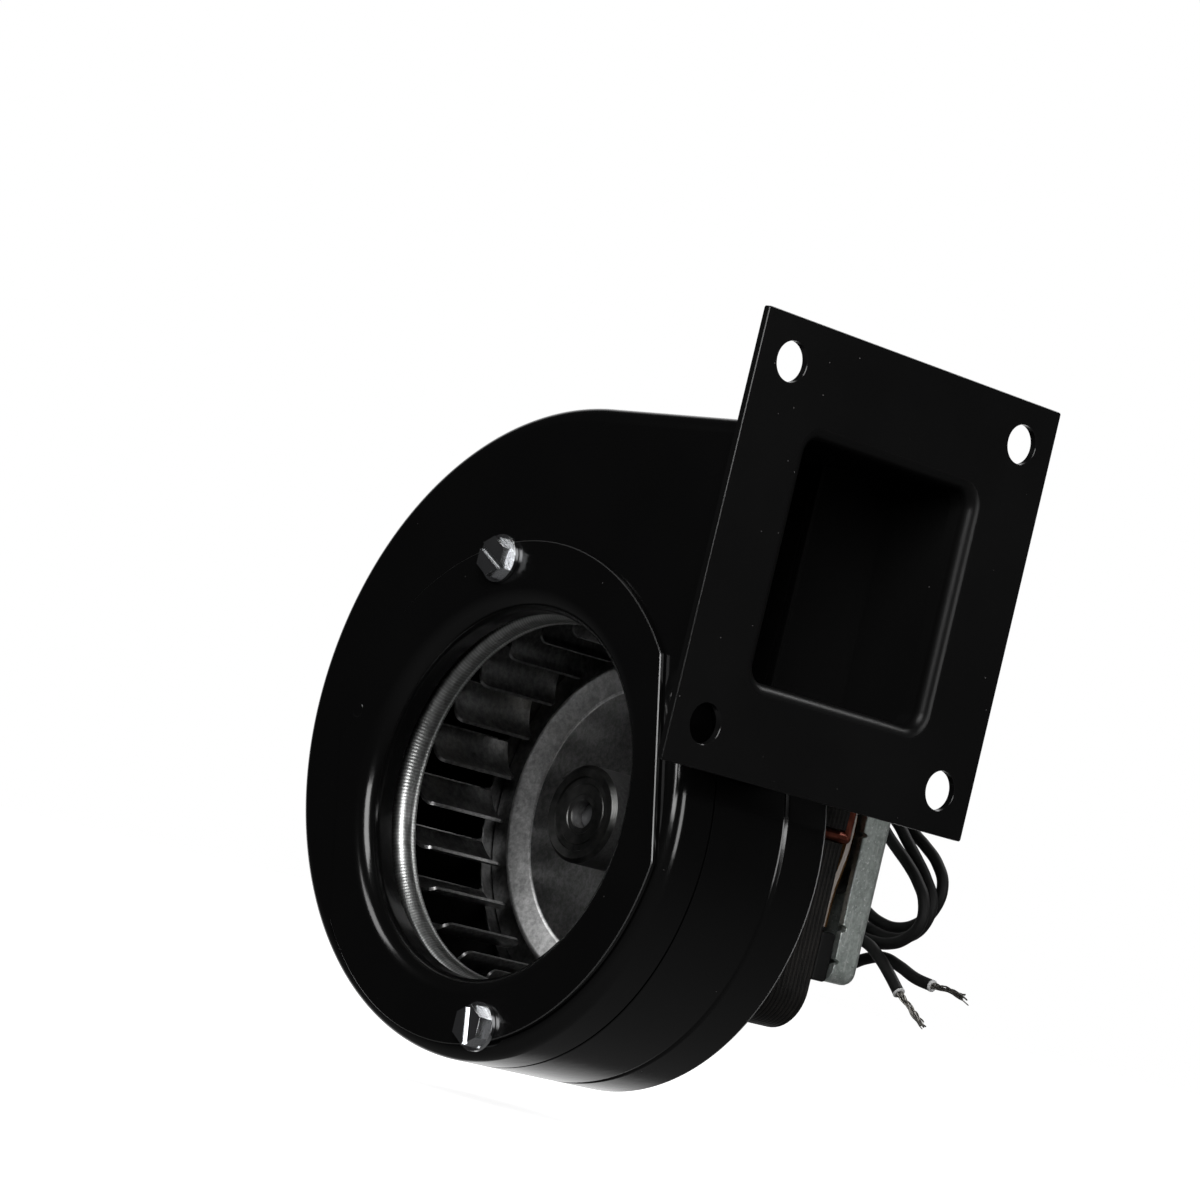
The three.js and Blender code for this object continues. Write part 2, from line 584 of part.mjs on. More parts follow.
// A pressed pan that holds a bearing: floor is its outer face and edge is where its skirt ends.
function bearingBracket(floor, edge) {
  const { halfX, halfZ, sheet, cornerR } = BRACKET;
  const inward = Math.sign(edge - floor);
  const outline = (grow) =>
    roundedRect(AXIS.x - halfX - grow, AXIS.x + halfX + grow, AXIS.z - halfZ - grow, AXIS.z + halfZ + grow, cornerR);
  const [y0, y1] = [Math.min(floor, edge), Math.max(floor, edge)];
  let pan = slabY(outline(0), y0, y1, { curve: 3 });
  const hollow = inward > 0 ? [y0 + sheet, y1 + OPEN] : [y0 - OPEN, y1 - sheet];
  pan = pan.subtract(slabY(outline(-sheet), ...hollow, { curve: 3 }));
  pan = pan.subtract(rodY(BEARING.r + FIT, y0 - 1, y1 + 1, { sides: 24 }));
  for (const side of [1, -1]) pan = pan.subtract(boltHole(side, y0 - 1, y1 + 1));
  return pan;
}

// A ring round a bearing, from away to away + thick inside the bracket's floor.
function bearingRing(floor, edge, away, thick, outer) {
  const inward = Math.sign(edge - floor);
  const seat = floor + inward * (BRACKET.sheet + away);
  const tip = seat + inward * thick;
  return tubeY(outer, BEARING.r + FIT, Math.min(seat, tip), Math.max(seat, tip), { sides: 24 });
}

function throughBolt(side) {
  const { x, r, headR, headH } = BOLT;
  const at = { x: AXIS.x + side * x };
  const seat = BRACKET.rearY + FIT;
  const shank = rodY(r, HOUSING.rear - 1.9, seat + 0.5, { ...at, sides: 12 });
  return shank.add(rodY(headR, seat, seat + headH, { ...at, sides: 6 }));
}

function boltSpacer(side, y0, y1) {
  return tubeY(BOLT.spacerR, BOLT.r + FIT, y0 + GAP, y1 - GAP, { x: AXIS.x + side * BOLT.x, sides: 16 });
}

function leadPiece(points, r, step) {
  const route = new THREE.CatmullRomCurve3(points.map((p) => new THREE.Vector3(...p)), false, "centripetal");
  return cable(points, r, Math.round(route.getLength() / step));
}

function lead(route) {
  return leadPiece(route.insulated, LEAD.r, 2.2);
}

// The bare strands start just past the insulation.
function leadEnd(route) {
  const [start, next, tip] = route.bare;
  const clear = start.map((v, i) => v + (next[i] - v) * 0.03);
  return leadPiece([clear, next, tip], LEAD.stripR, 2.5);
}

const sleeveRoute = [
  [-33, 38, -24.8], [-31, 37.9, -31.5], [-29.2, 38.9, -37], [-29, 38.9, -45], [-29, 37.6, -52], [-29, 37.3, -59.2],
];

const { frontY, frontEdge, rearY, rearEdge, sheet: bracketSheet } = BRACKET;
piece("stator_core", statorCore(), lamination());
piece("coil_core_bar", coilBar(), lamination());
piece("coil_bobbin", coilBobbin(), blackPlastic());
piece("coil_winding", coilWinding(), amberTape());
piece("shading_loop_outlet_side", shadingLoop(1), copper());
piece("shading_loop_far_side", shadingLoop(-1), copper());
piece("rotor_core", rotorCore(), lamination());
piece("rotor_end_ring_front", rotorEndRing(-1), aluminium());
piece("rotor_end_ring_rear", rotorEndRing(1), aluminium());
piece("thrust_washer_front", tubeY(4.4, rotorBore, BEARING.front[1] + GAP, STACK.front - GAP), blackPlastic());
piece("rotor_spacer", tubeY(3.8, rotorBore, STACK.rear + GAP, BEARING.rear[0] - 1.4), steel());
piece("thrust_washer_rear", tubeY(4.4, rotorBore, BEARING.rear[0] - 1.1, BEARING.rear[0] - GAP), blackPlastic());
piece("bracket_front", bearingBracket(frontY, frontEdge), galvanised());
piece("bracket_rear", bearingBracket(rearY, rearEdge), galvanised());
piece("bearing_front", tubeY(BEARING.r, BEARING.boreR, ...BEARING.front), bronze());
piece("bearing_rear", tubeY(BEARING.r, BEARING.boreR, ...BEARING.rear), bronze());
piece("oil_felt_front", bearingRing(frontY, frontEdge, GAP, 1, 8.6), felt());
piece("oil_felt_rear", bearingRing(rearY, rearEdge, GAP, 2.6, 8.6), felt());
piece("bearing_retainer_front", bearingRing(frontY, frontEdge, 2 * GAP + 1, 0.6, 9.6), galvanised());
piece("bearing_retainer_rear", bearingRing(rearY, rearEdge, 2 * GAP + 2.6, 0.8, 9.6), galvanised());
for (const [word, side] of [["outlet_side", 1], ["far_side", -1]]) {
  piece("through_bolt_" + word, throughBolt(side), zincScrew());
  piece("spacer_front_" + word, boltSpacer(side, frontY + bracketSheet, STACK.front), steel());
  piece("spacer_rear_" + word, boltSpacer(side, STACK.rear, rearY - bracketSheet), steel());
}
piece("terminal_block", box(-47, -26, STACK.rear + GAP, rearEdge - GAP, -69, -60), blackPlastic());
piece("coil_lead_sleeve", cable(sleeveRoute, 1.1, 14), amberTape());

// ---------- leads ----------
piece("lead_wire_outer", lead(LEAD_ROUTES.outer), blackPlastic());
piece("lead_wire_inner", lead(LEAD_ROUTES.inner), blackPlastic());
piece("lead_strands_outer", leadEnd(LEAD_ROUTES.outer), tinned());
piece("lead_strands_inner", leadEnd(LEAD_ROUTES.inner), tinned());

export default blower;
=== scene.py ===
"""The blower as it looks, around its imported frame.

Metres, +X out of the outlet, +Y towards the motor, +Z up.
"""

import json
import random
from math import acos, atan2, cos, degrees, pi, radians, sin, sqrt, tan
from types import SimpleNamespace

import bmesh
import bpy
from mathutils import Matrix, Vector, geometry


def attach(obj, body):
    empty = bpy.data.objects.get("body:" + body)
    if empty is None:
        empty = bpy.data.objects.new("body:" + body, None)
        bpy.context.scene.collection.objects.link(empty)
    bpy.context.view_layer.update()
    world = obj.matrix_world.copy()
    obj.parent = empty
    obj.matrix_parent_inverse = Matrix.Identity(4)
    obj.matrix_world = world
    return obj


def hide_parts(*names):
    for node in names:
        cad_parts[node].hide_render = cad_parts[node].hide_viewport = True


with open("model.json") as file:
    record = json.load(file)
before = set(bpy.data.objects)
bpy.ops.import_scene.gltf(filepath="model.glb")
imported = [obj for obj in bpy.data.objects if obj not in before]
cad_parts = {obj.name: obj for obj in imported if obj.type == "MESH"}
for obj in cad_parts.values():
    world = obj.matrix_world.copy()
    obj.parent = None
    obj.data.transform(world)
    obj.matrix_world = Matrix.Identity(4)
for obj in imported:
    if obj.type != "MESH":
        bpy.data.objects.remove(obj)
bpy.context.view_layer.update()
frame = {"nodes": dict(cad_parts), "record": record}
random.seed(7)

MM = 0.001


def place(name, data):
    """Puts an object in the scene."""
    made = bpy.data.objects.new(name, data)
    bpy.context.scene.collection.objects.link(made)
    return made


def looking_back(azimuth, elevation):
    """The direction from the blower to an eye or a light, for angles in degrees."""
    a, e = radians(azimuth), radians(elevation)
    return Vector((sin(a) * cos(e), -cos(a) * cos(e), sin(e)))


# ---------- camera ----------
CAMERA = SimpleNamespace(
    azimuth=48.175,
    elevation=-3.748,
    roll=13.574,
    distance=835.6 * MM,
    target=Vector((-9.69, -50.58, -15.88)) * MM,
    lens=150,
)


def add_camera():
    a = radians(CAMERA.azimuth)
    back = looking_back(CAMERA.azimuth, CAMERA.elevation)
    level = Vector((cos(a), sin(a), 0))
    roll = Matrix.Rotation(radians(CAMERA.roll), 3, back)
    right = roll @ level
    up = back.cross(right)
    turn = Matrix((right, up, back)).transposed().to_4x4()
    data = bpy.data.cameras.new("camera")
    data.lens = CAMERA.lens
    data.sensor_width = 36
    data.clip_start = 0.01
    data.clip_end = 20
    camera = place("camera", data)
    camera.matrix_world = Matrix.Translation(CAMERA.target + back * CAMERA.distance) @ turn
    bpy.context.scene.camera = camera


add_camera()


# ---------- shape helpers: everything is drawn in millimetres and scaled when the mesh is made ----------
AXIS = Vector((-55.8, 0, -49.8))


def ride(name, mesh, body):
    """Places a mesh on a body, with its flat faces shaded flat."""
    made = place(name, mesh)
    made.modifiers.new("weighted", "WEIGHTED_NORMAL").keep_sharp = True
    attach(made, body)
    return made


def is_hard(edge, sharp):
    """Whether two faces meet at an edge at more than an angle in degrees."""
    return len(edge.link_faces) == 2 and edge.calc_face_angle() > radians(sharp)


def round_off(bm, sharp, width):
    hard = [e for e in bm.edges if is_hard(e, sharp)]
    bmesh.ops.bevel(bm, geom=hard, offset=width, segments=2, affect="EDGES", profile=0.5)


def shade(bm, sharp):
    """Shades the faces smooth, with a crease at each hard edge."""
    for edge in bm.edges:
        edge.smooth = not is_hard(edge, sharp)
    for face in bm.faces:
        face.smooth = True


class Solid:
    """Collects rings of vertices and the faces between them."""

    def __init__(self):
        self.bm = bmesh.new()

    def ring(self, points):
        return [self.bm.verts.new(p) for p in points]

    def face(self, verts):
        if len(set(verts)) == len(verts) and self.bm.faces.get(verts) is None:
            self.bm.faces.new(verts)

    def bridge(self, a, b, closed=True):
        for i in range(len(a) if closed else len(a) - 1):
            j = (i + 1) % len(a)
            self.face([a[i], a[j], b[j], b[i]])

    def skin(self, rows, closed=True, back_to_first=False):
        """Bridges each row to the next, and the last to the first if asked."""
        for a, b in zip(rows, rows[1:] + rows[:1] if back_to_first else rows[1:]):
            self.bridge(a, b, closed)

    def at(self, y, outline):
        """A ring from an XZ outline."""
        return self.ring([(x, y, z) for x, z in outline])

    def fill(self, *loops):
        """Fills the flat region between an outer loop and its holes."""
        flat = [v for loop in loops for v in loop]
        for tri in geometry.tessellate_polygon([[v.co for v in loop] for loop in loops]):
            self.face([flat[i] for i in tri])

    def cap_sides(self, rows):
        """Closes the two open sides of a run of rows."""
        for end in (0, -1):
            self.fill([row[end] for row in rows])

    def object(self, name, material, sharp=35, body="housing", bevel=0.0, extra=()):
        """Makes the piece. Each extra is a material and a test of a face's middle and normal."""
        bm = self.bm
        bmesh.ops.remove_doubles(bm, verts=bm.verts, dist=1e-4)
        bmesh.ops.recalc_face_normals(bm, faces=bm.faces)
        if bevel:
            round_off(bm, sharp, bevel)
        shade(bm, sharp)
        for f in bm.faces:
            for index, (_, test) in enumerate(extra):
                if test(f.calc_center_median(), f.normal):
                    f.material_index = index + 1
        bmesh.ops.scale(bm, vec=(MM, MM, MM), verts=bm.verts)
        mesh = bpy.data.meshes.new(name)
        bm.to_mesh(mesh)
        bm.free()
        for each in (material, *[paint for paint, _ in extra]):
            mesh.materials.append(each)
        return ride(name, mesh, body)


def circle(radius, y, count, centre=AXIS):
    angles = [2 * pi * i / count for i in range(count)]
    return [(centre.x + radius * cos(a), y, centre.z + radius * sin(a)) for a in angles]


def arc(cu, cv, radius, a0, a1, steps):
    """Points of an arc in two coordinates, angles in degrees."""
    angles = [radians(a0 + (a1 - a0) * i / steps) for i in range(steps + 1)]
    return [(cu + radius * cos(a), cv + radius * sin(a)) for a in angles]


def lathe(solid, profile, count=128, centre=AXIS):
    """Turns a closed profile of (radius, y) about a line along Y; a radius of 0 closes on the axis."""
    rings = []
    for radius, y in profile:
        if radius < 1e-6:
            rings.append(solid.ring([(centre.x, y, centre.z)]) * count)
        else:
            rings.append(solid.ring(circle(radius, y, count, centre)))
    for a, b in zip(rings, rings[1:] + rings[:1]):
        for i in range(count):
            j = (i + 1) % count
            quad = []
            for v in (a[i], a[j], b[j], b[i]):
                if v not in quad:
                    quad.append(v)
            if len(quad) > 2:
                solid.face(quad)


def rounded_rectangle(u0, u1, v0, v1, r, steps=8):
    corners = ((u1 - r, v1 - r), (u0 + r, v1 - r), (u0 + r, v0 + r), (u1 - r, v0 + r))
    return [p for i, (u, v) in enumerate(corners) for p in arc(u, v, r, 90 * i, 90 * i + 90, steps)]


def quarter(steps):
    return [pi / 2 * i / steps for i in range(steps + 1)]


def fillet(u, v, width, depth, steps):
    """A quarter round in two coordinates, from (u + width, v) to (u, v + depth)."""
    return [(u + width * (1 - sin(t)), v + depth * (1 - cos(t))) for t in quarter(steps)]


def off_axis(point):
    """How far a point is from the shaft's line."""
    return (point - AXIS - Vector((0, point.y, 0))).length


def inset_outline(outline, inset):
    """Moves each point of a counter-clockwise outline inwards."""
    if not inset:
        return list(outline)
    moved = []
    count = len(outline)
    for i, (x, z) in enumerate(outline):
        ax, az = outline[i - 1]
        bx, bz = outline[(i + 1) % count]
        if (ax, az) == (x, z):
            ax, az = outline[i - 2]
        if (bx, bz) == (x, z):
            bx, bz = outline[(i + 2) % count]
        n1 = Vector((-(z - az), x - ax)).normalized()
        n2 = Vector((-(bz - z), bx - x)).normalized()
        n = (n1 + n2).normalized()
        k = inset / max(n.dot(n1), 0.35)
        moved.append((x + n.x * k, z + n.y * k))
    return moved


# ---------- materials ----------
class Tree:
    """A small helper for a node tree."""

    def __init__(self, tree):
        self.tree = tree

    def add(self, kind, **inputs):
        node = self.tree.nodes.new(kind)
        for key, value in inputs.items():
            self.set(node, key, value)
        return node

    def set(self, node, key, value):
        name = key.replace("_", " ").lower()
        self.feed(next(s for s in node.inputs if s.name.lower() == name), value)

    def feed(self, socket, value):
        """Links a node's output to a socket, or sets the socket; a colour may have three numbers."""
        if isinstance(value, bpy.types.NodeSocket):
            self.tree.links.new(value, socket)
        else:
            socket.default_value = (*value, 1) if socket.type == "RGBA" and len(value) == 3 else value

    def noise(self, scale, detail=2.0, roughness=0.5, vector=None):
        vector = vector or self.coord
        node = self.add("ShaderNodeTexNoise", Scale=scale, Detail=detail, Roughness=roughness, Vector=vector)
        return node.outputs["Fac"]

    def wave(self, scale, distortion, direction):
        node = self.add("ShaderNodeTexWave", Scale=scale, Distortion=distortion, Detail=1.0, Vector=self.coord)
        node.bands_direction = direction
        return node.outputs["Fac"]

    def voronoi(self, scale, output="Distance"):
        return self.add("ShaderNodeTexVoronoi", Scale=scale, Vector=self.coord).outputs[output]

    def stretched(self, scale):
        return self.add("ShaderNodeMapping", Scale=scale, Vector=self.coord).outputs["Vector"]

    def across_and_up(self):
        """A point's X and Z from the shaft's line."""
        split = self.add("ShaderNodeSeparateXYZ", Vector=self.coord)
        across = self.math("SUBTRACT", split.outputs["X"], AXIS.x * MM)
        return across, self.math("SUBTRACT", split.outputs["Z"], AXIS.z * MM)

    def ramp(self, value, *stops):
        node = self.add("ShaderNodeValToRGB", Fac=value)
        elements = node.color_ramp.elements
        while len(elements) < len(stops):
            elements.new(0.5)
        for element, (at, colour) in zip(elements, stops):
            element.position = at
            element.color = (*colour, 1)
        return node.outputs["Color"]

    def mix(self, factor, a, b, blend="MIX"):
        node = self.add("ShaderNodeMix")
        node.data_type = "RGBA"
        node.blend_type = blend
        for index, value in ((0, factor), (6, a), (7, b)):
            self.feed(node.inputs[index], value)
        return node.outputs[2]

    def math(self, operation, a, b=0.0):
        node = self.add("ShaderNodeMath")
        node.operation = operation
        self.feed(node.inputs[0], a)
        self.feed(node.inputs[1], b)
        return node.outputs[0]

    def step(self, value, low, high, first=0, last=1):
        """A ramp between two greys."""
        return self.ramp(value, (low, grey(first)), (high, grey(last)))

    def times(self, colour, amount):
        """A colour darkened or lightened by a number."""
        return self.mix(1.0, colour, grey(amount), "MULTIPLY")

    def product(self, a, b):
        return self.math("MULTIPLY", a, b)

    def total(self, a, b):
        return self.math("ADD", a, b)

    def line(self, value, slope, offset):
        return self.total(self.product(value, slope), offset)


class Nodes(Tree):
    """The node tree of one procedural material."""

    def __init__(self, name):
        self.material = bpy.data.materials.new(name)
        self.material.use_nodes = True
        super().__init__(self.material.node_tree)
        self.bsdf = self.tree.nodes["Principled BSDF"]
        self.coord = self.add("ShaderNodeTexCoord").outputs["Object"]

    def shader(self, **inputs):
        for key, value in inputs.items():
            self.set(self.bsdf, key, value)

    def bump(self, height, distance, strength=1.0):
        node = self.add("ShaderNodeBump", Strength=strength, Distance=distance, Height=height)
        self.shader(Normal=node.outputs["Normal"])


def grey(v):
    return (v, v, v)


DUST_CORE, DUST_EDGE = 0.00008, 0.00015


def black_enamel(name="black_enamel", light=1.0, gloss=0.1, specular=0.5, dusty=0.62, dust_scale=330):
    """Gloss enamel: a slow wave, fine orange peel, sparse dust and a little haze."""
    n = Nodes(name)
    full, none = DUST_CORE * dust_scale, DUST_EDGE * dust_scale
    dust = n.ramp(n.voronoi(dust_scale), (0.0, grey(1)), (full, grey(1)), (none, grey(0)))
    spots = n.step(n.noise(120, 1), dusty, dusty + 0.04)
    speck = n.product(dust, spots)
    haze = n.noise(40, 4)
    base = n.mix(n.product(haze, 0.6), grey(0.0032 * light), grey(0.0056 * light))
    colour = n.mix(n.product(speck, 0.45), base, (0.24, 0.23, 0.23))
    rough = n.total(n.product(haze, 0.1), n.product(speck, 0.4))
    n.shader(Base_Color=colour, Roughness=n.total(rough, gloss), IOR=1.5, Specular_IOR_Level=specular)
    peel = n.total(n.noise(420, 2), n.product(n.noise(70, 1), 2.5))
    n.bump(n.total(peel, n.product(speck, 0.8)), 0.00003, 0.5)
    return n.material


def galvanised_sheet(name="galvanised_sheet", bright=1.25, rough_from=0.22):
    """Zinc on the wheel: fine grain and faint streaks, with a little brown stain."""
    n = Nodes(name)
    grain = n.noise(2600, 3, 0.6)
    cloud = n.noise(240, 5, 0.6)
    stain = n.noise(60, 4, 0.6)
    base = n.mix(n.step(cloud, 0.3, 0.7), grey(0.24 * bright), grey(0.36 * bright))
    base = n.mix(n.step(grain, 0.35, 0.65), n.times(base, 0.78), base)
    mottle = n.step(n.noise(1000, 3, 0.6), 0.36, 0.62)
    base = n.mix(mottle, n.times(base, 0.7), n.times(base, 1.05))
    colour = n.mix(n.step(stain, 0.56, 0.74, 0, 0.4), base, (0.2, 0.185, 0.14))
    rough = n.total(n.product(grain, 0.14), n.product(cloud, 0.14))
    n.shader(Base_Color=colour, Roughness=n.total(rough, rough_from), Metallic=1.0)
    n.bump(n.line(grain, 0.5, cloud), 0.00002, 0.5)
    return n.material


def spangled_zinc():
    """Zinc on the brackets: grey-green with soft spangles and pale scratches."""
    n = Nodes("spangled_zinc")
    spangle = n.voronoi(300, output="Color")
    tone = n.step(spangle, 0.1, 0.9, 0.2, 0.8)
    cloud = n.noise(420, 6, 0.7)
    scratch = n.step(n.noise(260, 3, 0.6, n.stretched((1, 5, 1))), 0.58, 0.66)
    fleck = n.step(n.noise(1100, 3, 0.7), 0.4, 0.64)
    base = n.mix(tone, (0.38, 0.44, 0.405), (0.58, 0.635, 0.6))
    base = n.mix(n.step(cloud, 0.32, 0.68, 0, 0.75), base, (0.74, 0.79, 0.76))
    base = n.mix(n.product(fleck, 0.55), base, n.times(base, 0.55))
    pit = n.step(n.noise(1900, 2, 0.6), 0.62, 0.7)
    base = n.mix(n.product(pit, 0.75), base, (0.97, 0.98, 0.97))
    dark = n.noise(1500, 2, 0.6, n.stretched((1.3, 1, 1)))
    base = n.mix(n.step(dark, 0.66, 0.74, 0, 0.8), base, (0.1, 0.12, 0.11))
    colour = n.mix(n.product(scratch, 0.45), base, (0.85, 0.87, 0.85))
    rough = n.total(n.product(tone, 0.1), n.product(cloud, 0.2))
    n.shader(Base_Color=colour, Roughness=n.total(rough, 0.3), Metallic=0.65)
    n.bump(n.total(n.product(tone, 0.4), n.total(cloud, pit)), 0.00004, 0.6)
    return n.material


def plain_metal(name, light, dark, rough, scale=300.0, metallic=1.0, stretch=(1, 1, 1), bump=0.00002, vary=0.16):
    """A metal whose colour and roughness vary in cloudy streaks."""
    n = Nodes(name)
    streak = n.noise(scale, 4, 0.6, n.stretched(stretch))
    colour = n.mix(n.step(streak, 0.35, 0.7), dark, light)
    n.shader(Base_Color=colour, Roughness=n.line(streak, vary, rough), Metallic=metallic)
    if bump:
        n.bump(streak, bump, 0.5)
    return n.material


def laminated_steel():
    """A stack of dark sheets: fine lines along the stack with rust-brown varnish between them."""
    n = Nodes("laminated_steel")
    sheet = n.wave(314.0, 0.35, "Y")
    blotch = n.noise(150, 5, 0.6)
    base = n.mix(n.step(blotch, 0.35, 0.7), (0.011, 0.0105, 0.01), (0.034, 0.031, 0.028))
    colour = n.mix(sheet, n.times(base, 0.3), base)
    n.shader(Base_Color=colour, Roughness=n.line(blotch, 0.25, 0.42), Metallic=0.3, Specular_IOR_Level=0.3)
    n.bump(sheet, 0.00006, 0.6)
    return n.material


def soft_plastic(name, light, dark, rough, scale=200.0, bump=0.00003, specular=0.5):
    n = Nodes(name)
    cloud = n.noise(scale, 4, 0.6)
    colour = n.mix(n.step(cloud, 0.35, 0.7), dark, light)
    n.shader(Base_Color=colour, Roughness=n.line(cloud, 0.2, rough), Specular_IOR_Level=specular)
    n.bump(n.total(cloud, n.product(n.noise(scale * 8, 2), 0.5)), bump, 0.6)
    return n.material


def amber_tape():
    """Varnished tape: overlapping turns with darker seams."""
    n = Nodes("amber_tape")
    turns = n.wave(40.0, 0.4, "X")
    seam = n.step(turns, 0.0, 0.12, 0.35, 1)
    cloud = n.noise(160, 4)
    base = n.mix(cloud, (0.06, 0.028, 0.008), (0.17, 0.085, 0.026))
    n.shader(Base_Color=n.mix(1.0, base, seam, "MULTIPLY"), Roughness=n.line(cloud, 0.2, 0.18))
    n.bump(n.total(turns, n.product(cloud, 0.5)), 0.00008, 0.6)
    return n.material


def serrated_zinc():
    """The wheel's front ring: bright zinc with fine radial teeth pressed in it."""
    n = Nodes("serrated_zinc")
    across, up = n.across_and_up()
    turn = n.math("ARCTAN2", up, across)
    teeth = n.math("SINE", n.product(turn, 330.0))
    cloud = n.noise(700, 3)
    base = n.mix(n.step(cloud, 0.35, 0.7), (0.5, 0.51, 0.5), (0.68, 0.69, 0.68))
    base = n.mix(n.step(teeth, 0.1, 0.9, 0.5, 0), base, grey(0.25))
    n.shader(Base_Color=base, Roughness=n.line(cloud, 0.12, 0.32), Metallic=1.0)
    n.bump(n.total(teeth, n.product(cloud, 0.8)), 0.00002, 0.5)
    return n.material


def turned_hub():
    """Dark turned steel with fine circular tool marks."""
    n = Nodes("turned_hub")
    across, up = n.across_and_up()
    radius = n.math("SQRT", n.total(n.product(across, across), n.product(up, up)))
    marks = n.math("SINE", n.product(radius, 21000.0))
    stain = n.noise(220, 4, 0.6)
    base = n.mix(n.step(stain, 0.35, 0.7), (0.045, 0.046, 0.045), (0.12, 0.12, 0.117))
    n.shader(Base_Color=base, Roughness=n.line(stain, 0.2, 0.27), Metallic=1.0)
    n.bump(n.total(marks, stain), 0.00001, 0.5)
    return n.material


def wool_felt():
    n = Nodes("wool_felt")
    fibre = n.noise(1400, 6, 0.8)
    n.shader(Base_Color=n.mix(fibre, (0.3, 0.25, 0.16), (0.62, 0.55, 0.42)), Roughness=0.95)
    n.bump(fibre, 0.0002, 0.8)
    return n.material


ENAMEL = black_enamel()
# A matte copy of the enamel without reflections, its base a little lighter: painted shade for the faces inside the
# scroll, the duct and the flange's collar.
INSIDE_SHADE_ENAMEL = black_enamel("black_enamel_painted_shade_inside", 1.8, 0.5, 0.0, 0.7)
FLANGE_ENAMEL = black_enamel("black_enamel_flange", 1.5, 0.14, 0.4, 0.5, 360)
BEND_ENAMEL = black_enamel("black_enamel_bend", 1.2, 0.3, 0.2, 0.6)
# A copy of the enamel with a twelve times lighter base: a painted highlight along the inlet ring's rim.
RIM_HIGHLIGHT_ENAMEL = black_enamel("painted_highlight_rim_enamel", 12.0, 0.25, 0.7, 0.7)
# A copy of the enamel with a sixty times lighter base: a painted highlight along the scroll's rear edge.
REAR_RIM_HIGHLIGHT_ENAMEL = black_enamel("painted_highlight_rear_rim_enamel", 60.0, 0.25, 1.0, 0.7)
WHEEL_ZINC = galvanised_sheet()
DISC_ZINC = galvanised_sheet("galvanised_disc", 0.9)
# A lighter copy of the wheel's zinc: a painted highlight on the back plate's cone.
CONE_HIGHLIGHT_ZINC = galvanised_sheet("galvanised_cone_painted_highlight", 1.85, 0.34)
# A still lighter copy of the wheel's zinc: a painted highlight line along the fold between disc and cone.
FOLD_HIGHLIGHT_ZINC = galvanised_sheet("galvanised_fold_painted_highlight", 2.6)
# A darker copy of the wheel's zinc: painted shade on the cage's rear band by the crimp, deep in the wheel.
CRIMP_SHADE_ZINC = galvanised_sheet("galvanised_painted_shade", 0.4)
BRACKET_ZINC = spangled_zinc()
SCREW_ZINC = plain_metal("bright_zinc", (0.86, 0.87, 0.88), (0.74, 0.75, 0.77), 0.2, 200, bump=0, vary=0.02)
LAMINATION = laminated_steel()
TINNED = plain_metal("tinned_copper", (0.52, 0.5, 0.46), (0.2, 0.19, 0.175), 0.34, 1500)
RING_ZINC = serrated_zinc()
HUB_STEEL = turned_hub()
# A duller, lighter copy of the hub's steel for its round side: painted light, so that the side reads lit like the
# disc.
HUB_SIDE_LIT_STEEL = plain_metal("hub_side_painted_light", grey(0.13), grey(0.07), 0.4, 1500, metallic=0.2)
PLASTIC = soft_plastic("black_moulding", grey(0.008), grey(0.005), 0.45, specular=0.2)
INSULATION = soft_plastic("lead_insulation", grey(0.012), grey(0.006), 0.5, 300, specular=0.25)
CUT_END = soft_plastic("insulation_cut", grey(0.75), grey(0.55), 0.4, 900)
SLOT_MATERIAL = {
    "black_paint": ENAMEL,
    "screw_zinc": SCREW_ZINC,
    "wheel_galvanised": WHEEL_ZINC,
    "bracket_zinc": BRACKET_ZINC,
    "plain_steel": plain_metal("turned_steel", (0.5, 0.51, 0.52), (0.3, 0.3, 0.31), 0.24, 260, stretch=(1, 6, 1)),
    "lamination": LAMINATION,
    "cast_aluminium": plain_metal("cast_aluminium", (0.7, 0.71, 0.72), (0.5, 0.51, 0.52), 0.35, 500),
    "copper": plain_metal("bare_copper", (0.42, 0.13, 0.085), (0.2, 0.055, 0.035), 0.3, 400),
    "amber_tape": amber_tape(),
    "black_plastic": PLASTIC,
    "bronze": plain_metal("sintered_bronze", (0.5, 0.32, 0.14), (0.33, 0.2, 0.08), 0.42, 900),
    "felt": wool_felt(),
    "lead_insulation": INSULATION,
    "tinned_strands": TINNED,
}

SLOT_OF = {subpart["node"]: subpart["material_slot"] for subpart in frame["record"]["subparts"]}
for node_name, slot_name in SLOT_OF.items():
    cad_mesh = frame["nodes"][node_name].data
    cad_mesh.materials.clear()
    cad_mesh.materials.append(SLOT_MATERIAL[slot_name])


def dress(made, slot_name, *nodes):
    """Hides the CAD nodes that a piece stands for; the slot name is not used."""
    if nodes:
        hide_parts(*nodes)
    return made


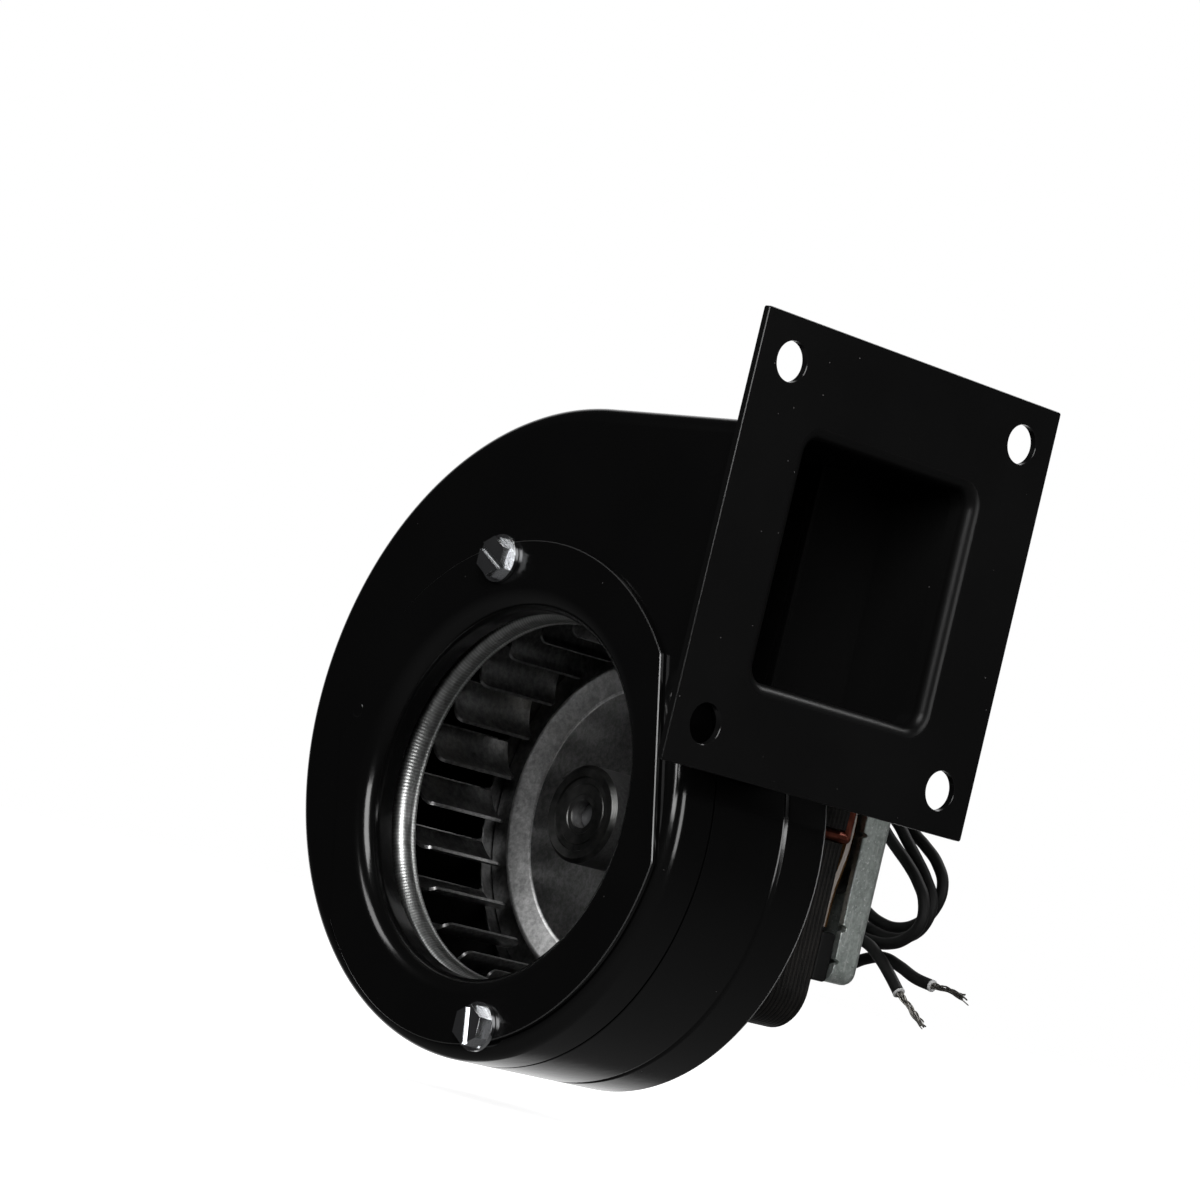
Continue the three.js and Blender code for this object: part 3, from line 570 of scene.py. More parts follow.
# ---------- leads ----------
LEAD_R = 1.1
LEADS = {
    "outer": [
        (-36.2, 39, -21.5), (-31.7, 39.7, -21.7), (-29.3, 43.2, -23), (-29.5, 47.3, -25.1),
        (-30.9, 50.9, -27.7), (-32.7, 53.5, -31), (-32.3, 54.9, -35.2), (-28.8, 55.1, -38.3),
        (-24.8, 55, -40.5), (-21, 55, -43.1), (-18.4, 55, -46.9), (-19.1, 55, -51.3), (-22.3, 55, -54.5),
        (-26.7, 55, -56.1), (-31.3, 55, -55.9), (-35.6, 54.9, -54.4), (-39.6, 54.6, -51.9),
        (-42.6, 54.1, -48.5), (-43.7, 53.6, -44.1), (-42.5, 53.2, -39.7), (-39.5, 52.8, -36.2),
        (-35.1, 52.6, -35.2), (-31, 52.6, -37.3), (-27.4, 52.6, -40.3), (-23.9, 52.7, -43.3),
        (-20.5, 52.6, -46.4), (-17.9, 52.7, -50.2), (-18.4, 52.6, -54.6), (-22, 52.6, -57.5),
        (-26.5, 52.7, -58.3), (-31.1, 52.9, -57.7), (-35.6, 53.1, -56.6), (-40.1, 53.5, -55.6),
        (-44.6, 53.9, -55.7), (-48.2, 54.3, -58.5), (-49.2, 54.6, -62.9), (-46.4, 54.9, -66.3),
        (-41.9, 55, -66.5), (-37.5, 55, -65), (-33.3, 55, -63), (-28.8, 55, -62), (-24.3, 55, -62.9),
        (-19.9, 55, -64.3), (-15.3, 55, -65),
    ],
    "inner": [
        (-36.2, 38.4, -17.2), (-32.2, 39.4, -17.4), (-30.5, 42.7, -19.1), (-31.2, 45.8, -21.8),
        (-32.8, 47.8, -25.2), (-34.3, 48.9, -29), (-35.1, 49.6, -33.1), (-33.6, 50.1, -37),
        (-30.5, 50.3, -39.9), (-27, 50.3, -42.3), (-23.5, 50.3, -44.6), (-20.2, 50.3, -47.3),
        (-17.6, 50.3, -50.6), (-17.2, 50.3, -54.7), (-19.9, 50.3, -57.8), (-23.8, 50.3, -59.4),
        (-28, 50.4, -59.6), (-32.2, 50.5, -59), (-36.3, 50.5, -57.9), (-40.4, 50.5, -56.6),
        (-44.5, 50.5, -55.7), (-48.7, 50.3, -56.2), (-52.1, 49.9, -58.6), (-53, 49.4, -62.5),
        (-50.2, 48.9, -65.5), (-46.1, 48.5, -66.5), (-42.1, 48.2, -65.4), (-38.4, 48.1, -63.3),
        (-34.7, 48, -61.2), (-30.7, 48, -59.8), (-26.6, 47.9, -60.3), (-22.9, 47.9, -62.3),
        (-19.5, 48, -64.9), (-16.2, 47.9, -67.6),
    ],
}


BARE = {
    "outer": [(-15.3, 55, -65), (-10.5, 55, -65), (-5.6, 55, -65.6)],
    "inner": [(-16.2, 47.9, -67.6), (-12.4, 48, -70), (-8.2, 48, -72.8)],
}


def hoop(solid, centre, radius, side, other, count):
    """A ring of points about a centre, in the plane of two directions."""
    turns = [2 * pi * k / count for k in range(count)]
    return solid.ring([centre + radius * (side * cos(t) + other * sin(t)) for t in turns])


def tube(solid, points, radius, sides=6):
    """A thin round wire along points in millimetres."""
    rings = []
    for i, p in enumerate(points):
        along = (points[min(i + 1, len(points) - 1)] - points[max(i - 1, 0)]).normalized()
        side = along.cross(Vector((0.31, 0.87, 0.38))).normalized()
        other = along.cross(side)
        rings.append(hoop(solid, p, radius, side, other, sides))
    solid.skin(rings)
    solid.face(rings[0])
    solid.face(rings[-1])


def add_strands(which):
    """Twisted bare strands that come apart towards their tips."""
    rng = random.Random(which)
    start, middle, tip = (Vector(p) for p in BARE[which])
    along = (tip - start).normalized()
    side = along.cross(Vector((0, 1, 0))).normalized()
    other = along.cross(side)
    s = Solid()
    frayed = which == "outer"
    for k in range(18):
        phase = 2 * pi * k / 9 + rng.random()
        reach = 0.44 if k < 9 else 0.2
        stray = (1.3 if frayed else 0.45) * (0.35 + rng.random())
        end = 1.0 - (0.34 if frayed else 0.12) * rng.random()
        droop = (-1.5, 0.5) if frayed else (-0.9, 0.9)
        lean = Vector((rng.uniform(-0.8, 0.9), rng.uniform(-0.4, 0.4), rng.uniform(*droop)))
        kink = rng.uniform(-1, 1)
        points = []
        for i in range(29):
            t = end * i / 28
            centre = (1 - t) ** 2 * start + 2 * t * (1 - t) * middle + t * t * tip
            turn = phase + 5.2 * t
            loose = reach * (1 + 0.3 * sin(9 * t + k)) * (1 - 0.2 * t)
            off = loose * (side * cos(turn) + other * sin(turn))
            apart = max(t - 0.42, 0)
            wave = 0.35 * kink * apart * sin(15 * t + k) * side
            points.append(centre + off + lean * stray * 2.2 * apart**1.5 + wave)
        points[0] = start + (points[0] - start) * 0.8 - along * 0.3
        tube(s, points, 0.15 if k % 3 else 0.11)
    return dress(s.object("bare_strands_" + which, TINNED, 60), "tinned_strands", "lead_strands_" + which)


def add_cut_end(which):
    """The pale ring where the insulation was cut."""
    points = LEADS[which]
    end, before = Vector(points[-1]), Vector(points[-2])
    along = (end - before).normalized()
    side = along.cross(Vector((0, 1, 0))).normalized()
    other = along.cross(side)
    s = Solid()
    section = [(LEAD_R - 0.02, -0.1), (LEAD_R + 0.05, 0.0), (LEAD_R + 0.03, 0.2), (LEAD_R - 0.2, 0.28)]
    section += [(0.52, 0.2), (0.5, -0.1)]
    s.skin([hoop(s, end + along * y, radius, side, other, 40) for radius, y in section], back_to_first=True)
    return dress(s.object("cut_end_" + which, CUT_END, 40), "lead_insulation")


def add_lead(which):
    points = LEADS[which]
    data = bpy.data.curves.new("lead_" + which, "CURVE")
    data.dimensions = "3D"
    data.resolution_u = 8
    data.bevel_depth = LEAD_R * MM
    data.bevel_resolution = 8
    data.use_fill_caps = True
    spline = data.splines.new("BEZIER")
    spline.bezier_points.add(len(points) - 1)
    for knot, point in zip(spline.bezier_points, points):
        knot.co = Vector(point) * MM
        knot.handle_left_type = knot.handle_right_type = "AUTO"
    data.materials.append(INSULATION)
    made = place("lead_" + which, data)
    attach(made, "housing")
    dress(made, "lead_insulation", "lead_wire_" + which)
    length = sum((Vector(b) - Vector(a)).length for a, b in zip(points, points[1:])) * MM * 1.012
    Vector(points[0]) * MM
    add_strands(which)
    add_cut_end(which)


for lead_name in LEADS:
    add_lead(lead_name)


# ---------- housing ----------
SHEET = 0.9
SCROLL = SimpleNamespace(
    small=(-54.8, -52.2, 45.4),
    middle=(-54.8, -40.4, 57.2),
    large=(-50.4, -40.4, 61.6),
    rise=radians(1.58),
    duct_bottom=-24.3,
    cutoff_r=2.5,
    mouth=-1.7,
)
HOUSING = SimpleNamespace(front=-22.8, seam=-13.5, rear=14.5, corner=3.0)
INLET = SimpleNamespace(bore=39.3, plate=45.4, flat=41.5, tilt=16, throat=33.3, bell=3.7, end=-17.3)
FLANGE = SimpleNamespace(half_y=37.5, half_z=39.25, thick=1.4, hole_y=29.5, hole_z=31.5, hole_r=3.55)
OUTLET = SimpleNamespace(half_y=20.8, bottom=-22.2, top=20.4, corner=3, flare=2.4, depth=5.5)
COLLAR_ROOM = -OUTLET.depth - 0.3


def faces_air(middle, normal):
    """Whether a wall's face looks at the air in the scroll and the duct."""
    return normal.dot(Vector((-45, -2, -15)) - middle) > 0 and middle.y > HOUSING.front + 0.5


def scroll_chain(inset):
    """Points from the duct's lower end, round the scroll, to the duct's upper end, moved inwards by inset."""
    s = SCROLL
    (sx, sz, sr), (mx, mz, mr), (lx, lz, lr) = s.small, s.middle, s.large
    cut_z = s.duct_bottom - s.cutoff_r
    cut_x = sx + sqrt((sr + s.cutoff_r) ** 2 - (cut_z - sz) ** 2)
    cut_angle = degrees(atan2(cut_z - sz, cut_x - sx))
    rise = degrees(s.rise)
    low = s.duct_bottom + inset
    points = [(s.mouth, low), (COLLAR_ROOM, low), (COLLAR_ROOM - 0.2, low)]
    points += arc(cut_x, cut_z, s.cutoff_r + inset, 90, cut_angle + 180, 14)
    points += arc(sx, sz, sr - inset, cut_angle, -90, 64)[1:]
    points += arc(mx, mz, mr - inset, -90, -180, 60)[1:]
    points += arc(lx, lz, lr - inset, 180, 90 + rise, 60)[1:]
    top_x, top_z = points[-1]
    for x in (COLLAR_ROOM - 0.2, COLLAR_ROOM, s.mouth):
        points.append((x, top_z + tan(s.rise) * (x - top_x)))
    return points


def chain_rows(solid, section):
    """The rows of points along the scroll for a section of (inset, y)."""
    return [solid.at(y, scroll_chain(inset)) for inset, y in section]


def add_inlet_shell():
    s = Solid()
    front, seam, r = HOUSING.front, HOUSING.seam, HOUSING.corner
    outer = fillet(0, front, r, r, 8)
    inner = fillet(SHEET, front + SHEET, r - SHEET, r - SHEET, 5)
    section = outer + [(0, seam - 0.2), (0.12, seam), (SHEET - 0.12, seam), (SHEET, seam - 0.2)] + inner[::-1]
    rows = chain_rows(s, section)
    s.skin(rows, closed=False)
    s.cap_sides(rows)
    bore = [s.ring(circle(INLET.bore, y, 128)) for y in (front, front + SHEET)]
    s.bridge(bore[0], bore[1])
    s.fill(rows[0], bore[0])
    s.fill(rows[-1], bore[1])
    s.face([rows[0][0], rows[-1][0], rows[-1][-1], rows[0][-1]])
    # Faces towards the inside take the painted shade copy.
    dress(s.object("inlet_shell_look", ENAMEL, 30, extra=[(INSIDE_SHADE_ENAMEL, faces_air)]), "black_paint", "inlet_shell")


def add_scroll_shell():
    s = Solid()
    rear = HOUSING.rear
    groove = [(0, 3.45), (0.06, 3.7), (0.3, 3.92), (0.52, 4.08), (0.6, 4.3)]
    groove += [(0.52, 4.52), (0.3, 4.68), (0.06, 4.9), (0, 5.15)]
    section = [(0.1, -13.2), (0, -13.05)] + groove
    section += [(0, rear - 0.36), (0, rear - 0.14), (0.14, rear), (SHEET - 0.14, rear)]
    section += [(SHEET, rear - 0.14), (SHEET, -12.3), (1.95, -12.3), (1.95, -17.9), (1.05, -17.9), (1.05, -13.2)]
    rows = chain_rows(s, section)
    s.skin(rows, closed=False, back_to_first=True)
    lip = {(1.95, -12.3): 0.93, (1.95, -17.9): 0.93, (1.05, -17.9): 0.91, (1.05, -13.2): 0.91}
    for key, row in zip(section, rows):
        if key in lip:
            chain = scroll_chain(lip[key])
            for i in (0, 1, -1, -2):
                row[i].co = (chain[i][0], max(row[i].co.y, -13.2), chain[i][1])
    s.cap_sides(rows)

    # The sheared rear edge and a thin strip of the wall before it take the painted highlight.
    def sheared(middle, normal):
        return middle.y > rear - 0.37 and not faces_air(middle, normal)

    # Inside faces take the painted shade copy.
    made = s.object("scroll_shell_look", ENAMEL, 30, extra=[(INSIDE_SHADE_ENAMEL, faces_air), (REAR_RIM_HIGHLIGHT_ENAMEL, sheared)])
    dress(made, "black_paint", "scroll_shell")
    add_duct_bump()


def add_duct_bump():
    """The box that widens the duct on the motor side."""
    s = Solid()
    start, full, y0, rear, wide = -32.0, -22.0, 12.8, HOUSING.rear, 22.8
    mouth, low = SCROLL.mouth, SCROLL.duct_bottom
    large_x, large_z, large_r = SCROLL.large

    def top(x, inset):
        tx = large_x - (large_r - inset) * sin(SCROLL.rise)
        tz = large_z + (large_r - inset) * cos(SCROLL.rise)
        return tz + tan(SCROLL.rise) * (x - tx)

    def loop(points, z_of):
        return s.ring([(x, y, z_of(x)) for x, y in points])

    bend = arc(full + 0.6, wide - 2.4, 2.4, 130, 90, 5)
    outside = [(start, y0), (start, rear), *bend, (mouth, wide)]
    inside = [(start + 1.4, y0), (start + 1.4, rear - SHEET)]
    inside += [(x + 0.3, y - SHEET) for x, y in bend] + [(mouth, wide - SHEET)]
    o_low, o_top = loop(outside, lambda x: low), loop(outside, lambda x: top(x, 0))
    i_low, i_top = loop(inside, lambda x: low + SHEET), loop(inside, lambda x: top(x, SHEET))
    s.bridge(o_low, o_top, closed=False)
    s.bridge(i_low, i_top, closed=False)
    corners = []
    for ring, z in ((o_low, low), (o_top, top(mouth, 0)), (i_low, low + SHEET), (i_top, top(mouth, SHEET))):
        corners += s.ring([(mouth, y0, z)])
        s.fill(ring + corners[-1:])
    for end in (0, -1):
        for outer, inner, k in ((o_low, i_low, 0), (o_top, i_top, 1)):
            s.face([outer[end], inner[end], corners[k + 2], corners[k]])
        s.face([o_low[end], o_top[end], i_top[end], i_low[end]])

    # Inner faces take the painted shade copy.
    def inside(middle, normal):
        return faces_air(middle, normal) or (normal.y < 0.05 and abs(normal.z) < 0.9)

    dress(s.object("duct_side_look", ENAMEL, 30, bevel=0.25, extra=[(INSIDE_SHADE_ENAMEL, inside)]), "black_paint")


def add_flange():
    s = Solid()
    f, o = FLANGE, OUTLET
    thick, flare = f.thick, o.flare

    def rim(grow, x):
        y, z = f.half_y + grow, f.half_z + grow
        points = rounded_rectangle(-y, y, -z, z, 0.45 + grow, 5)
        return s.ring([(x, y, z) for y, z in points])

    def mouth(grow, x):
        points = rounded_rectangle(
            -o.half_y - grow, o.half_y + grow, o.bottom - grow, o.top + grow, o.corner + grow, 10
        )
        return s.ring([(x, y, z) for y, z in points])

    rims = [rim(-0.12, 0), rim(0, -0.12), rim(0, -thick + 0.12), rim(-0.12, -thick)]
    section = fillet(0, 0, flare, -flare, 9) + [(0, -o.depth + 0.15), (0.15, -o.depth), (0.75, -o.depth)]
    section += [(SHEET, -o.depth + 0.15)]
    section += [(SHEET + 1.5 * (1 - cos(t)), -thick - 1.5 * (1 - sin(t))) for t in quarter(6)]
    lips = [mouth(g, x) for g, x in section]
    for rings in (rims, lips):
        s.skin(rings)
    holes = []
    for y0 in (-f.hole_y, f.hole_y):
        for z0 in (-f.hole_z, f.hole_z):
            rings = []
            for grow, x in ((0.1, 0), (0, -0.1), (0, -thick + 0.1), (0.1, -thick)):
                rings.append(s.ring([(x, y, z) for y, z in arc(y0, z0, f.hole_r + grow, 0, 360, 48)[:-1]]))
            s.skin(rings)
            holes.append(rings)
    s.fill(rims[0], lips[0], *[h[0] for h in holes])
    s.fill(rims[-1], lips[-1], *[h[-1] for h in holes])

    # The collar's inside takes the painted shade copy.
    def in_collar(middle, normal):
        return middle.x < -flare - 0.05

    def on_bend(middle, normal):
        in_depth = -flare - 0.05 <= middle.x < -0.02
        return in_depth and abs(middle.y) < o.half_y + flare and abs(normal.x) < 0.99

    painted = [(INSIDE_SHADE_ENAMEL, in_collar), (BEND_ENAMEL, on_bend)]
    dress(s.object("outlet_flange_look", FLANGE_ENAMEL, 40, extra=painted), "black_paint", "outlet_flange")


def add_inlet_plate():
    s = Solid()
    back = HOUSING.front - 0.3
    face = back - SHEET
    corner = degrees(acos(INLET.flat / INLET.plate))
    tilt = INLET.tilt
    breaks = [tilt + side + turn for side in (0, 180) for turn in (-corner, corner)]
    angles = sorted({round(a % 360, 4) for a in [i * 1.5 for i in range(240)] + breaks})

    def row(radius, y, clipped):
        points = []
        for angle in angles:
            a = radians(angle)
            reach = radius
            if clipped:
                across = abs(cos(a - radians(tilt)))
                reach = min(radius, (INLET.flat - INLET.plate + radius) / max(across, 0.01))
            points.append((AXIS.x + reach * cos(a), y, AXIS.z + reach * sin(a)))
        return s.ring(points)

    plate, throat, bell = INLET.plate, INLET.throat, INLET.bell
    outer = fillet(throat, face, bell, bell, 12)
    inner = fillet(throat + SHEET, back, bell - SHEET, bell - SHEET, 8)
    section = [(plate - 0.16, face, True)] + [(r, y, False) for r, y in outer]
    section += [(throat, INLET.end - 0.15, False), (throat + 0.15, INLET.end, False)]
    section += [(throat + SHEET - 0.15, INLET.end, False), (throat + SHEET, INLET.end - 0.15, False)]
    section += [(r, y, False) for r, y in reversed(inner)]
    section += [(plate - 0.1, back, True), (plate, back - 0.1, True), (plate, face + 0.16, True)]
    rows = [row(*entry) for entry in section]
    s.skin(rows, back_to_first=True)

    # The rim's slanted faces take the painted highlight.
    def on_rim(middle, normal):
        return off_axis(middle) > 40 and -0.95 < normal.y < -0.3

    dress(s.object("inlet_ring_look", ENAMEL, 30, extra=[(RIM_HIGHLIGHT_ENAMEL, on_rim)]), "black_paint", "inlet_ring_plate")
    add_dimple(face)


def add_dimple(face):
    """A shallow round pip pressed in the inlet ring."""
    s = Solid()
    centre = Vector((AXIS.x - 41.2, 0, AXIS.z + 9.3))
    profile = [(0, -0.01), (0.75, -0.02), (1.05, -0.05), (1.35, -0.02), (1.5, 0.1), (0, 0.1)]
    lathe(s, [(radius, face + y) for radius, y in profile], 32, centre)
    dress(s.object("inlet_ring_pip", ENAMEL, 60), "black_paint")


# ---------- wheel ----------
WHEEL = SimpleNamespace(
    blades=24, phase=7.6, lean=9.0, strip=0.6, inner=31.0, outer=37.6, lip=32.6,
    front=-15.8, blade_front=-10.3, blade_rear=8.4, rear=11.9,
    disc=25.5, disc_y=10.05, cone=30.0,
)


def blade_middle(angle, t):
    """The blade's middle line at t, from 0 at its free edge to 1 at the rim, as (x, z)."""
    w = WHEEL
    r = w.inner + t * (w.outer - 0.3 - w.inner)
    a = radians(angle - w.lean * t * t)
    return Vector((AXIS.x + r * cos(a), AXIS.z + r * sin(a)))


def add_blade(s, angle):
    w = WHEEL
    depth = w.outer - w.inner
    round_r = 1.6
    stations = [0, 0.02, 0.05, 0.09, 0.14, 0.2, 0.25, 0.4, 0.55, 0.7, 0.85, 1]
    skins = {1: [], -1: []}
    for t in stations:
        here = blade_middle(angle, t)
        ahead, behind = blade_middle(angle, min(t + 0.01, 1)), blade_middle(angle, max(t - 0.01, 0))
        along = (ahead - behind).normalized()
        normal = Vector((-along.y, along.x))
        far = max(round_r - t * depth, 0)
        cut = round_r - sqrt(max(round_r**2 - far**2, 0))
        y0, y1 = w.blade_front + cut, w.blade_rear - cut
        for side, skin in skins.items():
            p = here + normal * side * (w.strip / 2)
            skin.append(s.ring([(p.x, y0 + (y1 - y0) * k / 4, p.y) for k in range(5)]))
    for skin in skins.values():
        s.skin(skin, closed=False)
    up, down = skins[1], skins[-1]
    for i in range(len(stations) - 1):
        for end in (0, -1):
            s.face([up[i][end], up[i + 1][end], down[i + 1][end], down[i][end]])
    for row in (0, -1):
        s.bridge(up[row], down[row], closed=False)


def add_blade_cage():
    w = WHEEL
    s = Solid()
    for y0, y1 in ((w.front + 2.1, w.blade_front), (w.blade_rear, w.rear)):
        e = 0.12
        out, inn = w.outer, w.outer - w.strip
        ring = [(out, y0 + e), (out, y1 - e), (out - e, y1), (inn + e, y1)]
        ring += [(inn, y1 - e), (inn, y0 + e), (inn + e, y0), (out - e, y0)]
        lathe(s, ring, 192)
    for i in range(w.blades):
        add_blade(s, w.phase + 360 / w.blades * i)
        add_web(s, w.phase - w.lean + 360 / w.blades * i)

    # The rear band by the crimp takes the painted shade.
    def at_crimp(middle, normal):
        return middle.y > w.blade_rear - 2.2 and off_axis(middle) > w.outer - 1.2

    made = s.object("wheel_cage_look", WHEEL_ZINC, 40, "rotor", extra=[(CRIMP_SHADE_ZINC, at_crimp)])
    dress(made, "wheel_galvanised", "wheel_blade_cage")


def add_web(s, angle):
    """The strip of the band left standing at a blade's root, with rounded window corners."""
    w = WHEEL
    y0, y1 = w.blade_front - 0.05, w.blade_rear + 0.05
    r_out, r_in = w.outer - 0.02, w.outer - w.strip + 0.02
    rows = []
    for k in range(13):
        u = k / 12
        y = y0 + (y1 - y0) * (0.5 - 0.5 * cos(pi * u))
        near = min(y - y0, y1 - y)
        flare = 1.2 - sqrt(max(1.2**2 - max(1.2 - near, 0) ** 2, 0))
        half = (0.35 + flare) / w.outer
        a = radians(angle)
        corners = ((r_out, -half), (r_out, half), (r_in, half), (r_in, -half))
        rows.append(s.ring([(AXIS.x + r * cos(a + d), y, AXIS.z + r * sin(a + d)) for r, d in corners]))
    s.skin(rows)
    s.face(rows[0])
    s.face(rows[-1])


def add_front_ring():
    """The ring round the wheel's mouth, its inner edge rolled inwards and finished with a fine bead."""
    w = WHEEL
    s = Solid()
    lip, skirt, front = w.lip, w.outer + 0.15, w.front
    roll = 2.1
    profile = [(lip + 0.7, front + 3.7), (lip + 0.15, front + 3.7), (lip, front + 3.55)]
    profile += [(lip, front + 3.2), (lip + 0.3, front + 3.0), (lip + 0.12, front + 2.75)]
    profile += [(lip + roll * (1 - cos(t)), front + 2.5 * (1 - sin(t))) for t in quarter(12)]
    profile += [(skirt - 0.2, front), (skirt + 0.35, front + 0.2)]
    profile += [(skirt + 0.6, front + 0.8), (skirt + 0.6, front + 4.5)]
    profile += [(skirt + 0.5, front + 4.6), (skirt, front + 4.6)]
    profile += [(skirt, front + 0.9)]
    back = roll - 0.8
    profile += [
        (lip + 0.8 + back * (1 - cos(t)), front + 0.9 + 1.6 * (1 - sin(t))) for t in reversed(quarter(8))
    ]
    lathe(s, profile, 192)
    dress(s.object("wheel_front_ring_look", RING_ZINC, 40, "rotor"), "wheel_galvanised", "wheel_front_ring")


def add_back_plate():
    """The disc behind a shallow cone, a shoulder and the flat rim."""
    w = WHEEL
    s = Solid()
    rear, rim, disc, y, cone = w.rear, w.outer - w.strip - 0.15, w.disc, w.disc_y, w.cone
    profile = [(5.4, y), (13, y), (disc - 0.5, y), (disc - 0.15, y - 0.02), (disc + 0.1, y - 0.09)]
    profile += [(disc + 0.4, y - 0.2), (cone - 0.5, y - 1.52), (cone - 0.1, y - 1.6), (cone + 0.3, y - 1.54)]
    profile += [(cone + 0.65, y - 1.3), (cone + 0.9, y - 0.8), (cone + 1.5, rear - 1.0), (cone + 1.9, rear - 0.9)]
    profile += [(rim - 0.1, rear - 0.9), (rim, rear - 0.8), (rim, rear - 0.15), (rim - 0.1, rear - 0.1)]
    profile += [(cone + 0.9, rear - 0.1), (cone - 0.1, y - 0.7), (disc + 0.3, y + 0.65), (disc - 0.6, y + 0.8)]
    profile += [(5.4, y + 0.8)]
    lathe(s, profile, 160)

    # The cone takes the painted highlight.
    def on_cone(middle, normal):
        return normal.y < 0 and disc + 0.3 < off_axis(middle) < cone + 0.7

    # The fold line takes the painted highlight.
    def on_fold(middle, normal):
        return normal.y < 0 and disc - 0.2 < off_axis(middle) <= disc + 0.3

    painted = [(CONE_HIGHLIGHT_ZINC, on_cone), (FOLD_HIGHLIGHT_ZINC, on_fold)]
    made = s.object("wheel_back_plate_look", DISC_ZINC, 50, "rotor", extra=painted)
    dress(made, "wheel_galvanised", "wheel_back_plate")


def add_hub():
    s = Solid()
    profile = [(2.5, 1.9), (2.5, -1.35), (2.7, -1.5), (3.6, -1.5), (3.75, -1.65), (5.5, -1.68)]
    profile += [(5.65, -1.5), (6.7, -1.5), (6.85, -1.85), (8.25, -2), (9, -1.25), (9, 9.7), (8.85, 9.85)]
    profile += [(5.2, 9.85), (5.2, 11.4), (2.5, 11.4), (2.5, 5)]
    lathe(s, profile, 96)

    # The round side takes the painted light copy.
    def on_side(middle, normal):
        return abs(normal.y) < 0.3 and middle.y > -1

    dress(s.object("wheel_hub_look", HUB_STEEL, 30, "rotor", extra=[(HUB_SIDE_LIT_STEEL, on_side)]), "plain_steel", "wheel_hub")


# ---------- motor ----------
STACK = SimpleNamespace(
    half_x=30.0, bottom=-79.2, top=-4.0, front=21.0, rear=35.0, corner=8.0, bore=12.9, limb=10.0,
)
SLOT_HALF = 1.25
SLOT_X = 28.6
SLOT_Z = (7.0, 18.8)
BOLT_X = 21.8


def pierce(solid, rows, y0, y1, bore, count):
    """Lines the bore and the through bolts' holes from y0 to y1, and closes the two faces round them."""
    faces = [rows[0]], [rows[-1]]
    bolts = [(1.85, Vector((AXIS.x + side * BOLT_X, 0, AXIS.z)), 24) for side in (1, -1)]
    for radius, centre, points in [(bore, AXIS, count), *bolts]:
        pair = [solid.ring(circle(radius, y, points, centre)) for y in (y0, y1)]
        solid.bridge(*pair)
        for loops, rim in zip(faces, pair):
            loops.append(rim)
    for loops in faces:
        solid.fill(*loops)


def edge_slot(side, edge, z):
    """An open slot for a shading loop in the stack's right (1) or left (-1) edge."""
    deep = AXIS.x + side * (SLOT_X - SLOT_HALF)
    return [(x, AXIS.z + side * (z + dz)) for dz, x in (
        (-SLOT_HALF, edge), (-SLOT_HALF, deep), (SLOT_HALF, deep), (SLOT_HALF, edge)
    )]


def stack_outline():
    """The U-shaped stack seen along Y, anticlockwise from its lower right corner, with its slots."""
    k = STACK
    x0, x1 = AXIS.x - k.half_x, AXIS.x + k.half_x
    r, window = k.corner, -26.0
    points = arc(x1 - r, k.bottom + r, r, -90, 0, 12)
    for z in SLOT_Z:
        points += edge_slot(1, x1, z)
    points += arc(x1 - r, k.top - r, r, 0, 90, 12)
    limb, top = k.limb, k.top
    points += [(x1 - limb, top), (x1 - limb, window), (x0 + limb, window), (x0 + limb, top)]
    points += arc(x0 + r, k.top - r, r, 90, 180, 12)
    for z in reversed(SLOT_Z):
        points += edge_slot(-1, x0, z)
    points += arc(x0 + r, k.bottom + r, r, 180, 270, 12)
    return points


def add_stator():
    s = Solid()
    k = STACK
    outline = stack_outline()
    sheets = 28
    pitch = (k.rear - k.front) / sheets
    section = []
    for i in range(sheets):
        y = k.front + i * pitch
        section += [(0.09, y), (0, y + 0.12), (0, y + pitch - 0.1)]
    section.append((0.09, k.rear))
    rows = [s.at(y, inset_outline(outline, inset)) for inset, y in section]
    s.skin(rows)
    pierce(s, rows, k.front, k.rear, k.bore, 72)
    dress(s.object("stator_core_look", LAMINATION, 25), "lamination", "stator_core")


